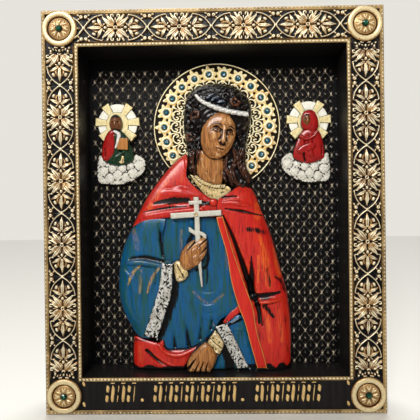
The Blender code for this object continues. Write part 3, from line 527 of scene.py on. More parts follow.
def handPainted(name, **changes):
    look = {**finishDefaults, **changes}
    material, tree, shader, place = newMaterial(name)
    relief, rim, dark, wornAndHighlight = (add(tree, "ShaderNodeAttribute", {"attribute_name": label}).outputs["Fac"]
        for label in ("relief", "rim", "dark", "wornAndHighlight"))
    noises = {}
    for seed, label in enumerate(("streak", "scratch", "ragged")):
        across, along = look[label]
        stretched = add(tree, "ShaderNodeMapping", Vector=place, Location=(3.1 * seed, 0.0, 5.7 * seed),
            Scale=(1 / (across * mm), 1 / (across * mm), 1 / (along * mm)))
        noises[label] = add(tree, "ShaderNodeTexNoise", Vector=stretched, Scale=1.0, Detail=3.0,
            Roughness=0.6)
    second = add(tree, "ShaderNodeMapRange", smooth, Value=noises["streak"], From_Min=0.42, From_Max=0.6,
        To_Max=look["streakMix"])
    colour = add(tree, "ShaderNodeMix", colourMix, in0=second, in6=linear(look["paint"]),
        in7=linear(look["second"]))
    crest = add(tree, "ShaderNodeMapRange", smooth, Value=relief, From_Min=look["crest"][0],
        From_Max=look["crest"][1], To_Max=look["crestMix"])
    crest = add(tree, "ShaderNodeMath", larger, in0=crest, in1=wornAndHighlight)
    broken = add(tree, "ShaderNodeMapRange", smooth, Value=noises["ragged"], From_Min=0.38, From_Max=0.6)
    rubbed = add(tree, "ShaderNodeMath", {"operation": "MULTIPLY", "use_clamp": True}, in0=crest, in1=broken)
    colour = add(tree, "ShaderNodeMix", colourMix, in0=rubbed, in6=colour, in7=linear(look["rubbed"]))
    scratch = add(tree, "ShaderNodeMapRange", smooth, Value=noises["scratch"], From_Min=0.55, From_Max=0.7,
        To_Max=look["scratchMix"])
    colour = add(tree, "ShaderNodeMix", colourMix, in0=scratch, in6=colour, in7=linear(look["wash"]))
    if look["edgeLine"]:
        line = add(tree, "ShaderNodeMapRange", smooth, Value=rim, From_Min=0.35, From_Max=0.75, To_Min=1.0,
            To_Max=0.0)
        colour = add(tree, "ShaderNodeMix", colourMix, in0=line, in6=colour, in7=linear(look["edgeLine"]))
    hollow = add(tree, "ShaderNodeMapRange", smooth, Value=relief, From_Min=-look["hollow"][1],
        From_Max=-look["hollow"][0], To_Min=1.0, To_Max=0.0)
    edge = add(tree, "ShaderNodeMapRange", smooth, Value=rim, From_Min=0.05, From_Max=look["rim"],
        To_Min=look["rimMix"], To_Max=0.0)
    wash = add(tree, "ShaderNodeMath", larger, in0=hollow, in1=edge)
    # the "dark" attribute brings in painted shade (the pieces' "shade" strokes) and dark painted lines
    wash = add(tree, "ShaderNodeMath", larger, in0=wash, in1=dark)
    uneven = add(tree, "ShaderNodeMath", {"operation": "MULTIPLY_ADD"}, in0=noises["ragged"], in1=1.7,
        in2=-0.85)
    wash = add(tree, "ShaderNodeMath", plus, in0=wash, in1=uneven)
    if look["speckle"]:
        spots = add(tree, "ShaderNodeTexNoise", Vector=place, Scale=1 / (1.5 * mm), Detail=2.0)
        spots = add(tree, "ShaderNodeMapRange", smooth, Value=spots, From_Min=0.52, From_Max=0.6,
            To_Max=look["speckle"])
        wash = add(tree, "ShaderNodeMath", plus, in0=wash, in1=spots)
    wash = add(tree, "ShaderNodeMapRange", smooth, Value=wash, From_Min=0.3, From_Max=0.8)
    colour = add(tree, "ShaderNodeMix", colourMix, in0=wash, in6=colour, in7=linear(look["wash"]))
    rough = add(tree, "ShaderNodeMapRange", Value=noises["scratch"], From_Min=0.3, From_Max=0.7,
        To_Min=look["roughness"] * 0.8, To_Max=look["roughness"] * 1.3)
    bump = add(tree, "ShaderNodeBump", Strength=look["bump"], Distance=0.12 * mm, Height=noises["scratch"])
    for label, node in (("Base Color", colour.outputs[2]), ("Roughness", rough.outputs[0]),
            ("Normal", bump.outputs[0])):
        tree.links.new(node, shader.inputs[label])
    for label, value in (("Metallic", look["metallic"]), ("Coat Weight", look["gloss"]),
            ("Coat Roughness", look["glossRoughness"]), ("Specular IOR Level", 0.3)):
        shader.inputs[label].default_value = value
    return material


# Black stain on carving, dry-brushed twice: bronze over all that stands up, then a pale gold on its crests.
# "body" and "crest" are heights in millimetres from which each brush takes hold.
def dryBrushed(name, body, crest, bronze="#8a6a45", brown="#6b4a30", gold="#e4d3a6", stain="#0b0809",
        metallic=0.25, roughness=0.4, uneven=0.5, crestUneven=0.4, sharp=0.25, gloss=0.0):
    material, tree, shader, place = newMaterial(name)
    lift, relief = (add(tree, "ShaderNodeAttribute", {"attribute_name": label}).outputs["Fac"]
        for label in ("lift", "relief"))
    fine = add(tree, "ShaderNodeTexNoise", Vector=place, Scale=1 / (1.1 * mm), Detail=3.0, Roughness=0.65)
    wide = add(tree, "ShaderNodeTexNoise", Vector=place, Scale=1 / (13.0 * mm), Detail=2.0)
    height = add(tree, "ShaderNodeMath", {"operation": "MULTIPLY_ADD"}, in0=relief, in1=0.8, in2=lift)
    layers = []
    for start, share in ((body, uneven), (crest, crestUneven)):
        noisy = add(tree, "ShaderNodeMath", {"operation": "MULTIPLY_ADD"}, in0=fine, in1=2 * share,
            in2=-share)
        level = add(tree, "ShaderNodeMath", plus, in0=height, in1=noisy)
        layers.append(add(tree, "ShaderNodeMapRange", smooth, Value=level, From_Min=start - sharp,
            From_Max=start + sharp))
    tone = add(tree, "ShaderNodeMapRange", smooth, Value=wide, From_Min=0.4, From_Max=0.6)
    tones = add(tree, "ShaderNodeMix", colourMix, in0=tone, in6=linear(bronze), in7=linear(brown))
    colour = add(tree, "ShaderNodeMix", colourMix, in0=layers[0], in6=linear(stain), in7=tones)
    colour = add(tree, "ShaderNodeMix", colourMix, in0=layers[1], in6=colour, in7=linear(gold))
    shine = add(tree, "ShaderNodeMath", times, in0=layers[0], in1=metallic)
    rough = add(tree, "ShaderNodeMapRange", Value=fine, From_Min=0.3, From_Max=0.7, To_Min=roughness * 0.8,
        To_Max=roughness * 1.3)
    bump = add(tree, "ShaderNodeBump", Strength=0.4, Distance=0.1 * mm, Height=fine)
    for label, node in (("Base Color", colour.outputs[2]), ("Metallic", shine.outputs[0]),
            ("Roughness", rough.outputs[0]), ("Normal", bump.outputs[0])):
        tree.links.new(node, shader.inputs[label])
    for label, value in (("Specular IOR Level", 0.25), ("Coat Weight", gloss), ("Coat Roughness", 0.18)):
        shader.inputs[label].default_value = value
    return material


# Foil-backed cut glass with its reflection painted by height: a dark girdle, the crown colour above it and a
# pale table painted in spots as glints; hard mirror facets
def cutGlass(name, girdle, crown, paintedGlintColour, height):
    material, tree, shader, place = newMaterial(name)
    lift = add(tree, "ShaderNodeAttribute", {"attribute_name": "lift"}).outputs["Fac"]
    foil = add(tree, "ShaderNodeTexNoise", Vector=place, Scale=1 / (1.0 * mm), Detail=1.0)
    low = add(tree, "ShaderNodeMapRange", smooth, Value=lift, From_Min=0.3 * height, From_Max=0.95 * height)
    paintedGlintNoise = add(tree, "ShaderNodeMath", {"operation": "MULTIPLY_ADD"}, in0=foil, in1=0.9, in2=-0.45)
    level = add(tree, "ShaderNodeMath", plus, in0=lift, in1=paintedGlintNoise)
    high = add(tree, "ShaderNodeMapRange", smooth, Value=level, From_Min=1.0 * height, From_Max=1.15 * height)
    colour = add(tree, "ShaderNodeMix", colourMix, in0=low, in6=linear(girdle), in7=linear(crown))
    colour = add(tree, "ShaderNodeMix", colourMix, in0=high, in6=colour, in7=linear(paintedGlintColour))
    tree.links.new(colour.outputs[2], shader.inputs["Base Color"])
    for label, value in (("Metallic", 0.3), ("Roughness", 0.12), ("Coat Weight", 1.0),
            ("Coat Roughness", 0.03)):
        shader.inputs[label].default_value = value
    return material


finishes = {
    # red gloss oil paint, brushed upright: wet highlights, orange where it wore thin, black in the folds
    "red": handPainted("red gloss oil paint on limewood", paint="#b2150f", second="#c02a10", rubbed="#d95f1c",
        ragged=(0.8, 9), streak=(1.7, 20), streakMix=0.7, scratch=(0.7, 9), crestMix=0.35, scratchMix=0.8,
        gloss=0.9, glossRoughness=0.26),
    # the same red on the narrow turned-back border, with a thin gilt line along both its edges
    "redBand": handPainted("red gloss oil paint with a gilt line", paint="#b5170f", second="#c62a16",
        rubbed="#e0681e", edgeLine="#dc9448", rimMix=0, crestMix=0.2, gloss=0.8),
    # blue gloss oil paint with olive and green under-paint that shows as upright streaks
    "blue": handPainted("blue gloss oil paint on limewood", paint="#034e7c", second="#1a4c42",
        rubbed="#a58248", streak=(1.9, 20), streakMix=0.85, crestMix=0.08, scratchMix=0.55, gloss=0.8,
        glossRoughness=0.2),
    # silver bronze paint, brushed flat on the cross: nearly matt grey-white with dark seams
    "silver": handPainted("silver bronze paint on limewood", paint="#c9c5b8", second="#b5b0a0",
        rubbed="#f1efe8", wash="#1d1814", streak=(1, 4), metallic=0.2, roughness=0.4, gloss=0.3, rim=0.35,
        rimMix=0.5, scratchMix=0.1, bump=0.2),
    # silver bronze paint over a punched border: black spots in white
    "brocade": handPainted("silver bronze paint on a punched border", paint="#cfcdc6", second="#8d8573",
        rubbed="#fffdf6", wash="#12100d", streak=(3, 4.5), metallic=0.25, roughness=0.32, gloss=0.5, rim=0.3,
        rimMix=0.3, speckle=0.95, hollow=(0, 0.25), crest=(0.05, 0.3)),
    # pale gold bronze paint on the collar and the under-cuffs, brown in its wrinkles
    "gilt": handPainted("pale gold bronze paint on limewood", paint="#e6cd94", second="#bb9350",
        rubbed="#fff6da", wash="#1c1009", streak=(1.2, 3), metallic=0.3, roughness=0.35, gloss=0.4, rim=0.5,
        rimMix=0.6, hollow=(0.05, 0.35), crest=(0.03, 0.3), scratchMix=0.3, speckle=0.55),
    # bare limewood under brown stain and varnish: upright grain, near-black in the cuts, its pale tone rubbed
    # through on the crests and laid on the face as painted highlight
    "skin": handPainted("brown stained limewood, varnished", paint="#a8703c", second="#74441f",
        rubbed="#e0b27c", wash="#150a06", streak=(1, 16), streakMix=0.85, scratch=(0.6, 12), scratchMix=0.7,
        roughness=0.35, gloss=0.7, hollow=(0.1, 0.5), crest=(0.12, 0.6), crestMix=0.5, rim=0.6),
    # black-brown stain and thick varnish on the hair: sharp white glints, a little brown on the curls
    "hair": handPainted("black stained limewood, varnished", paint="#120a07", second="#0a0605",
        rubbed="#7a4428", wash="#030202", streak=(1, 6), roughness=0.32, gloss=0.5, glossRoughness=0.22,
        crest=(0.5, 1.6), crestMix=0.3, hollow=(0.1, 0.5), scratchMix=0.2),
    # thick white paint on the rolled head band, grey in its dents
    "whiteCloth": handPainted("white oil paint on limewood", paint="#d8d5ce", second="#a9a59d",
        rubbed="#ffffff", wash="#2a2623", streak=(1, 2), roughness=0.4, gloss=0.4, hollow=(0.05, 0.5),
        rim=0.4, rimMix=0.3, scratchMix=0.12),
    # blue-black paint on the cloth over the crown, mirror-like on its folds; the pale blue-grey on its fold
    # crests is a painted highlight
    "darkCloth": handPainted("blue-black gloss oil paint", paint="#141c28", second="#0b0e14",
        rubbed="#b8c2d0", wash="#040506", streak=(1.2, 4), roughness=0.2, gloss=1, glossRoughness=0.06,
        crest=(0.3, 0.8), crestMix=0.8),
    # off-white paint, cracked in short black lines
    "cloud": handPainted("off-white oil paint, cracked", paint="#c9c5b8", second="#a5a092", rubbed="#e9e6dc",
        wash="#1d1a18", streak=(2, 2), roughness=0.45, gloss=0.3, hollow=(0.04, 0.28), crest=(0.05, 0.3),
        scratchMix=0.1, rim=0.4, rimMix=0.4),
    # cream paint on the small glories and their rays
    "glory": handPainted("white oil paint", paint="#e6e3d6", second="#d6d0bb", rubbed="#ffffff",
        wash="#4a4440", streak=(2, 2), roughness=0.4, gloss=0.3, rim=0.4, rimMix=0.3, scratchMix=0.05),
    "rays": handPainted("cream oil paint", paint="#e0d3a2", second="#c9ab6a", rubbed="#f8efcf",
        wash="#4d3d20", streak=(1.1, 2), roughness=0.4, gloss=0.3, rim=0.7, rimMix=0.85, scratchMix=0.15),
    # glossy dark green and red on the small robes
    "green": handPainted("dark green gloss oil paint", paint="#14351f", second="#0c2213", rubbed="#4f7a46",
        wash="#050805", streak=(1.4, 5), roughness=0.3, gloss=0.9, crest=(0.15, 0.6)),
    "smallRed": handPainted("crimson gloss oil paint", paint="#98120f", second="#7d0e0c", rubbed="#cf4a3a",
        wash="#0d0505", streak=(1.2, 5), roughness=0.28, gloss=0.9, hollow=(0.05, 0.35), crest=(0.2, 0.7),
        rim=0.5),
    # dark varnished wood of the small heads and hands
    "darkSkin": handPainted("dark stained limewood, varnished", paint="#6a3c20", second="#452413",
        rubbed="#b5804f", wash="#0c0604", streak=(0.8, 5), roughness=0.35, gloss=0.6, hollow=(0.04, 0.3),
        crest=(0.06, 0.35), rim=0.5),
    # tan wood of the small book, its cut edges lighter
    "book": handPainted("tan stained limewood", paint="#a96f35", second="#8a5524", rubbed="#f0d8a0",
        wash="#1a0e07", streak=(0.8, 6), roughness=0.4, gloss=0.4, rim=0.4),
    # thick pale gold leaf: nearly all of the pierced work is bright, only its holes stay dark
    "nimbus": dryBrushed("pale gold leaf on gesso", 3.2, 3.7, bronze="#e4c67f", brown="#cf9f4e",
        gold="#fbf3cf", stain="#140d06", metallic=0.25, roughness=0.3, uneven=0.2, crestUneven=0.6),
    # black stain under varnish, bronze and silver powder rubbed over the lattice: small hard glints
    "ground": dryBrushed("varnished black stain rubbed with bronze powder", 0.55, 1, bronze="#6d5f4f",
        brown="#4c443b", gold="#d6cab2", stain="#060506", metallic=0.2, roughness=0.36, uneven=0.9,
        crestUneven=1.3, gloss=0.3),
    # black stain, bronze and pale gold brushed over the frame's leaf work: dark hollows, bright backs
    "ornament": dryBrushed("black stain with bronze and pale gold powder", 0.7, 1.7, bronze="#ab8049",
        brown="#7e5935", gold="#f3e7c4", stain="#0a0809", metallic=0.45, roughness=0.34, uneven=0.7,
        crestUneven=0.75, sharp=0.3, gloss=0.3),
    # bronze ridge with pale gold on the top of each bead
    "beads": dryBrushed("bronze and pale gold powder on a beaded edge", 0.1, 1, bronze="#a68856",
        brown="#7d6238", gold="#f5e9c6", stain="#1a110a", metallic=0.35, uneven=0.2, crestUneven=0.3),
    # turned disc in antique gold: cream where it faces up, deeper gold below
    "medallion": dryBrushed("antique gold powder on a turned disc", 1, 2.1, bronze="#b8925e", brown="#a0784a",
        gold="#e8d4a4", stain="#150d08", metallic=0.35, roughness=0.33, uneven=0.35, crestUneven=0.7,
        sharp=0.35, gloss=0.2),
    # black-brown stain rubbed into planed beech, satin
    "frameStain": handPainted("black-brown stained beech", paint="#1b1817", second="#0e0c0b",
        rubbed="#3a281b", wash="#030202", streak=(3, 60), roughness=0.45, gloss=0.15, rimMix=0, hollow=(5, 6),
        scratch=(0.7, 14), scratchMix=0.5),
    # gold powder paint laid in shallow marks
    "strokes": handPainted("gold powder paint on shallow marks", paint="#dcb97c", second="#c39c60",
        rubbed="#ecd9a4", wash="#120c07", streak=(1.5, 3), metallic=0.2, roughness=0.4, gloss=0.2, rim=0.3,
        rimMix=0.4, scratchMix=0.1),
    # glass stones on foil, their glints and dark girdle painted in
    "blueGlass": cutGlass("blue-green cut glass on foil", "#03090c", "#14586c", "#e4f2f4", 1.25),
    "greenGlass": cutGlass("green cut glass on foil", "#02140c", "#073d28", "#5fa886", 1.6),
}
print("finishes ready")

# the figure
bodyOutline = [(-18, 156), (-26.8, 148.7), (-34.5, 139.7), (-42.2, 129.1), (-51.7, 110.2), (-59, 93.4),
    (-60.8, 70), (-57.9, 56.6), (-52.7, 46.5), (-51.6, 38), (-51.6, 10), (-20, 0), (30, 0), (47.6, 10),
    (48.1, 40), (46, 67.4), (42.3, 81.8), (33.6, 112.3), (26, 131), (20, 137), (2, 158)]
boardLow = openLow + 0.35  # the carving ends just over the frame's lower inner wall


def body(x, z):
    return 7.5 * dome(outlineDepth(x, z, bodyOutline), 16.0)


def stipple(x, z):
    return 0.2 * np.sin(1.9 * x + 1.7 * np.sin(0.9 * z)) * np.sin(1.7 * z + 1.4 * np.cos(1.2 * x))


# A piece of the figure. "back" says how high it lies over the body, how far its round back rises, and how
# far in from its edge, or from its "swell" outline, it levels off. Folds stand up and grooves cut in.
def overBody(look):
    def surface(x, z, depth):
        height, rise, levelsAt = look["back"]
        within = outlineDepth(x, z, look["swell"]) if "swell" in look else depth
        grooves = look.get("grooves", [])
        top = body(x, z) + height + rise * dome(within, levelsAt) + look.get("stipple", 0) * stipple(x, z)
        top = top - ridges(x, z, grooves) + highest(x, z, look.get("folds", []))
        top = top + ridges(x, z, look.get("chest", []))
        cut = look.get("grooveDark", 0) * highest(x, z, grooves)
        # the "shade" strokes are painted shade, carried in the dark attribute
        dark = np.maximum(brushed(x, z, look.get("shade", [])), cut)
        return top, dark, brushed(x, z, look.get("rubbed", []))
    return surface


def carve(name, outline, surface, finish, pitch=0.4, root=0.4, **more):
    return onBoard(name, carvedMesh(name, outline, surface, pitch, root, **more), finish)


def dress(name, look, finish, pitch=0.4, root=0.4, **more):
    return carve(name, look["outline"], overBody(look), finish, pitch, root, **more)


tunicLook = {
    "back": (3.5, 1, 5),
    "outline": [(-36, 118), (6, 120), (9, 100), (15, 62), (4.4, 53), (-1, 45.5), (-8, 39), (-16, 35.5),
        (-26, 34.5), (-34, 36), (-37, 60)],
    "grooves": [([(-26.4, 50), (-25, 36)], [0.6, 1.5], [0.1, 1.6]), ([(-19, 55), (-16.4, 37)], [0.6, 1.8],
        [0.1, 2.2]), ([(-8, 56), (-9.4, 41)], [0.6, 1.4], [0.1, 1.4]), ([(-1, 58), (-2.6, 47)], [0.6, 1.2],
        [0.1, 1.2])],
    "folds": [([(-22, 84), (-11, 69), (1, 68), (9, 80)], 2.6, [0.1, 0.6, 0.1]),
        ([(-21, 76), (-10, 61), (2, 61), (10, 72)], 2.6, [0.1, 0.7, 0.1]),
        ([(-16, 66), (-6, 55), (4, 57), (11, 66)], 2.2, [0.1, 0.6, 0.1])],
    "chest": [([(3, 116), (5, 98), (4, 80)], [2.2, 3], [1.4, 0.3]), ([(-14, 114), (-17, 104)], 2, [0.9, 0.1]),
        ([(-24, 112), (-25, 96)], 2, [0.8, 0.1])],
    "shade": [([(-24.4, 86), (-24.6, 70), (-28.6, 56), (-35, 41)], [2.4, 3.4, 3.2, 3.4], 1),
        ([(-5, 103), (-3.8, 94), (-5, 86), (-11, 83.5)], 1.7, 0.95), ([(-12.5, 108), (-16, 101)], 2.2, 0.9),
        ([(-30, 116.5), (-12, 117), (3, 117)], 1.6, 1.2), ([(5.8, 112), (11, 82), (15.5, 62)], 1.4, 1.2),
        ([(-5.2, 90), (-4.2, 80), (-5, 75)], [1, 1.2, 0.6], 0.8)],
    "rubbed": [([(-13, 70), (-4, 63), (5, 68)], 1.1, 0.5), ([(-20, 108), (-21, 92)], 1.2, 0.35),
        ([(7, 104), (7.6, 84)], 1, 0.35)],
}

sleeveLook = {
    "back": (4, 3.5, 13),
    "outline": [(-51.9, 110), (-55.8, 102.5), (-59.3, 93), (-60.9, 80), (-60.6, 67), (-57.6, 56),
        (-52.5, 46.5), (-45.5, 41.5), (-45.5, 41.5), (-35.5, 42.5), (-35.5, 42.5), (-28.9, 61.8), (-26.3, 72),
        (-25.5, 88), (-30.5, 91), (-31.5, 105), (-30, 117), (-42, 117)],
    "swell": [(-46, 118), (-55.8, 103), (-59.3, 93), (-60.9, 80), (-60.6, 67), (-57.6, 56), (-52.5, 46.5),
        (-45, 38), (-25, 30), (-5, 60), (-10, 100), (-28, 117)],
    "grooves": [([(-52, 91.3), (-43, 92), (-31, 89.4)], [1.4, 2, 1.6], [0.5, 1.3, 0.7]),
        ([(-33.8, 112), (-32.6, 104), (-31.6, 93)], [1.2, 1.8, 1.2], [0.6, 2.8, 1.6]),
        ([(-52, 80), (-53, 66), (-49, 54)], [1.4, 2.4, 1.2], [0.2, 0.7, 0.2]),
        ([(-40, 82), (-43, 68), (-45, 52)], [1.4, 2.6, 1.2], [0.2, 1.1, 0.2])],
    "folds": [([(-54, 88.4), (-44, 88.8), (-33, 86.6)], [1.4, 1.9, 1.5], [1.2, 2, 1.3]),
        ([(-57, 84), (-52, 78), (-51, 70)], [1.4, 2, 1], [0.5, 0.9, 0.1]), ([(-34, 85), (-38, 77), (-41, 68)],
        [1.4, 2, 1], [0.6, 0.9, 0.1])],
    "shade": [([(-31.2, 104), (-30.6, 93)], [1, 2], 1.2), ([(-51, 91.8), (-42, 92.3), (-31, 89.6)],
        [0.8, 1.3, 1.3], 1.1), ([(-36, 86), (-36.6, 76)], 1.4, 0.5)],
    "rubbed": [([(-53.5, 75), (-50.5, 82), (-45.5, 87)], [0.6, 1.3, 0.8], 1.3),
        ([(-41.5, 70), (-38.5, 79), (-33.5, 86)], [0.6, 1.3, 0.8], 1.2), ([(-45, 84), (-46, 70)], 1, 0.6),
        ([(-50, 108), (-47, 98)], 2.5, 0.35)],
}

nearCuff = corners((-32.2, 88.6), (-25.4, 87.8)) + [(-26.2, 72), (-28.8, 61.8)] + corners((-35.6, 42.5),
    (-44, 43.6)) + [(-37.6, 61.8), (-33.6, 75.4)]
nearCuffLeft = [(-31.6, 87.6), (-33, 75.4), (-37, 61.8), (-43.2, 44.2)]
nearCuffRight = [(-26.1, 87.2), (-26.8, 72), (-29.4, 61.8), (-36.2, 43.2)]


def nearCuffSurface(x, z, depth):
    height, rise, levelsAt = sleeveLook["back"]
    sleeve = body(x, z) + height + rise * dome(outlineDepth(x, z, sleeveLook["swell"]), levelsAt)
    return sleeve + 1.0 + 0.5 * dome(depth, 1.2) + stipple(x, z)


capeLook = {
    "back": (5.5, 1.6, 3.5),
    "outline": [(-18, 156), (-26.8, 148.7), (-34.5, 139.7), (-42.2, 129.1), (-47.3, 120.1), (-52, 110),
        (-52, 110), (-42.4, 113.6), (-27.2, 115.8), (-11.9, 116.6), (2, 116.4), (2, 116.4), (3.2, 125.5),
        (-1.1, 127.8), (-6.5, 131.2), (-12.5, 136.5), (-16.2, 141.8), (-15.5, 152)],
    "grooves": [([(-46, 119.6), (-30, 122.2), (-6, 124.4)], [1.2, 2.2, 1.6], [0.2, 0.9, 0.3]),
        ([(-37, 125.4), (-27, 126.8), (-5, 126.8)], [1.6, 3.4, 2.4], [0.2, 0.9, 0.4]),
        ([(-29, 134.5), (-15, 132.6), (-5, 129)], [1, 1.6, 1], [0.2, 0.7, 0.2])],
    "folds": [([(-16.3, 152), (-14.6, 141), (-8, 133), (-1.5, 128)], [1.6, 1.5, 1.2], [1.8, 1.2]),
        ([(-31, 131.1), (-20, 132), (-9, 130)], [2, 3.6, 1.8], [0.3, 1.5, 0.3]),
        ([(-42, 116.9), (-26, 119), (-8, 120.4)], [1.4, 2.8, 2.4], [0.4, 1.4, 1])],
    "shade": [([(-44, 119.9), (-30, 122.2), (-17, 123.2)], [0.5, 1.1, 0.9], 0.95),
        ([(-37, 125.2), (-27, 126.6), (-16, 127)], [1, 3, 2.4], 1.15), ([(-10, 125.2), (-2.5, 124.6)], 1.8,
        1.2), ([(-24, 136.2), (-19, 134.6)], 0.8, 0.6)],
    "rubbed": [([(-22, 147), (-31, 136)], 2, 0.7), ([(-33, 133), (-40, 122)], 2.2, 0.9),
        ([(-18, 145), (-20, 138)], 1.2, 0.5)],
}

cloakLook = {
    "back": (4, 3, 10),
    "outline": [(2.2, 127), (2.2, 127), (9.6, 131.4), (14.9, 135), (21, 137), (25, 134.4), (28.4, 125.3),
        (33.6, 112.3), (38.7, 99.3), (42.6, 81.8), (46.3, 67.4), (48.3, 52.1), (47.9, 36.9)]
        + corners((47, boardLow), (25.4, boardLow)) + [(21.8, 37.1), (18.2, 51.3), (14.5, 61.2), (10.3, 76.2),
        (7.5, 94), (3.2, 109), (1.4, 116)],
    "swell": [(-20, 140), (14.9, 137), (25, 134.4), (33.6, 112.3), (38.7, 99.3), (42.6, 81.8), (46.3, 67.4),
        (48.3, 52.1), (48, 20), (40, 0), (-20, 0)],
    "grooves": [([(7, 121.4), (17, 119.8), (29, 117.2)], [0.6, 1.4, 0.7], [0.8, 1.8, 0.5]),
        ([(5.9, 128.2), (14.6, 128.6)], [0.8, 0.6], [1, 0.4]),
        ([(5.8, 117), (10.8, 106), (14.8, 95), (18.8, 83), (23, 70), (27, 60), (29, 49)],
        [0.8, 1.2, 1.5, 2, 2.4, 1.8, 0.7], [1, 2.4, 3.2, 4.2, 4.6, 3, 0.5]),
        ([(22.8, 92), (23, 80), (22.6, 67)], [0.6, 2, 2.8], [0.4, 2.6, 3.2]),
        ([(23, 66.8), (31, 67.4), (40, 68.8)], [2.4, 2.2, 1.2], [1.6, 1.2, 0.3]),
        ([(26, 61), (27.2, 56), (27.2, 50)], [2.2, 1.8, 1], [1.2, 0.8, 0.2]),
        ([(31, 61.6), (34, 57.6), (37, 53)], [1.6, 1.6, 1], [0.8, 0.6, 0.2])],
    "folds": [([(25, 63.4), (32, 64), (41, 65)], [1.2, 1.4, 1], [2, 2.4, 0.8]),
        ([(6, 124.8), (13, 124.8), (24, 122.6)], [1.2, 1.9, 1], [1, 1.7, 0.3]),
        ([(18, 100), (20.5, 86)], [1, 1.4], [0.2, 0.6]), ([(28, 100), (31, 84)], [2.4, 2], [0.2, 0.7])],
    "shade": [([(5.8, 117), (10.8, 106), (14.8, 95), (18.8, 83), (23, 70), (27, 60), (29, 49)],
        [0.6, 0.9, 1.2, 1.8, 2.2, 1.7, 0.4], 1.5), ([(22.8, 92), (23, 80), (22.6, 67)], [0.4, 1.9, 2.6], 1.5),
        ([(8, 121.2), (19, 119.4), (30, 116.8)], [0.4, 1, 0.5], 1.2), ([(6, 128.6), (14, 129)], 0.8, 1.1),
        ([(24, 67.4), (31, 68), (40, 69.4)], [2.2, 2.2, 1.2], 1.2), ([(21, 108.6), (26, 108), (31, 106.4)],
        2.4, 0.75), ([(32.6, 84), (33.6, 74)], 2, 0.62), ([(37.6, 79), (41, 76), (44, 70)], [1.2, 2.2, 1.8],
        0.72), ([(30.6, 61.6), (36, 54.6)], [2.4, 1.4], 0.9), ([(26.8, 60), (27.2, 51)], [1.8, 1], 1.3),
        ([(25, 23.4), (29, 21.8), (33, 24), (37, 21.6), (41, 24), (44, 22), (47.6, 24)],
        [2.6, 1.8, 2.8, 1.8, 3, 2, 2.8], 1.5)],
    "rubbed": [([(27, 124), (27, 116)], 2.4, 0.8), ([(28, 104), (31, 90), (33, 74)], [1.6, 3.4, 2.4], 0.95),
        ([(37, 96), (40, 80)], [1, 2.2], 0.8), ([(31, 60), (34, 40)], 2.2, 0.75), ([(27, 92), (27, 76)], 1.2,
        0.8), ([(40, 58), (41, 40)], 2, 0.5)],
}

bandLook = {
    "back": (7.6, 1.2, 1.6),
    "outline": corners((1.4, 116.5), (5.5, 117)) + [(10.5, 99.3), (14.8, 85.9), (18.4, 75.4), (23.3, 61.1),
        (25.7, 46.2), (29.6, 32)] + corners((31.6, boardLow + 1.6), (25.6, boardLow + 1.6)) + [(21.8, 37.1),
        (18.2, 51.3), (14.5, 61.2), (10.3, 76.2), (7.5, 94), (3.2, 109)],
}

waistLook = {
    "back": (4.6, 2, 4.5),
    "outline": [(-51.6, 41), (-44.4, 41), (-36, 39.3), (-32, 40.8), (-30.5, 36), (-25.6, 34.6), (-16.5, 35.4),
        (-9.7, 37.8), (-5, 41), (-12, 31), (-17.4, 24)] + corners((-19, boardLow), (-51.6, boardLow)),
    "grooves": [([(-42, 34), (-36, 28.5), (-27, 24)], [1.2, 1.6, 0.8], [2.2, 1.8, 0.3])],
    "folds": [([(-35, 38), (-29, 32.4), (-20, 31.8), (-8, 38.4)], [1.2, 1.5, 1], [1.2, 1.4, 0.6]),
        ([(-38, 32), (-31, 26.6), (-22, 23.4)], [0.9, 1.2, 0.8], [0.4, 0.9, 0.3])],
    "shade": [([(-43, 34.4), (-38.5, 31)], 1.2, 1.2), ([(-51.6, 23.2), (-46, 21.8), (-41, 23.8), (-35, 21.8),
        (-28, 23.4), (-20, 22.6)], [2.8, 2, 2.8, 1.8, 2.6], 1.5), ([(-14, 31), (-18.5, 24)], 1.8, 1.2),
        ([(-50.5, 40), (-40, 40.2)], 0.8, 0.7)],
    "rubbed": [([(-47, 36), (-46, 28)], 1.4, 0.4)],
}

liningLook = {"back": (5, 1, 1.6), "outline": [(15.5, 62.5), (13, 60.5), (8.6, 56.5), (4.8, 51.4),
    (7.6, 50.6), (11.5, 54), (16, 58)]}
farSleeveLook = {
    "back": (4.4, 1.6, 5),
    "outline": [(6, 51.6), (9, 52.6), (15, 56), (18.5, 51), (22, 37), (25.6, 27)] + corners((25.6, boardLow),
        (-2, boardLow)) + [(1, 30), (3, 40)],
    "folds": [([(10.5, 50.6), (14.5, 53.4)], 0.8, 0.8), ([(13, 47), (17, 46)], 1, 0.4),
        ([(19, 38), (23, 27)], 1.2, 0.5)],
    "shade": [([(4, 40), (8, 30), (9, 23)], 4, 1.4), ([(9, 50), (16, 53)], 1.2, 1.2),
        ([(14, 24), (26, 24)], 2, 1.2)],
}
farCuffLook = {"back": (7.4, 0.6, 1.2), "stipple": 1, "outline": corners((0.2, 49.2), (7.6, 51.4), (20.4, 24),
    (13.6, 23.2))}
farCuffLeft, farCuffRight = [(1.5, 47.6), (12.6, 26.6)], [(7.4, 49.6), (18.4, 27.6)]
farWristLook = {
    "back": (7.5, 3.2, 4), "stipple": 0.5,
    "outline": [(-5.6, 39), (-1, 46.4), (1.2, 46.6), (5.6, 39.4), (3.5, 33), (0.4, 31), (-2, 36)],
    "folds": [([(-4.8, 38.8), (1.6, 33.2)], 0.7, 0.7), ([(-3, 41.6), (3.6, 35.4)], 0.5, 0.5),
        ([(-1, 45), (5, 39.6)], 0.6, 0.6)],
    "shade": [([(-5.6, 38), (-2, 35), (2.4, 32.4)], 0.7, 1.2), ([(-3.4, 42.8), (4, 36.6)], 0.4, 1)],
}
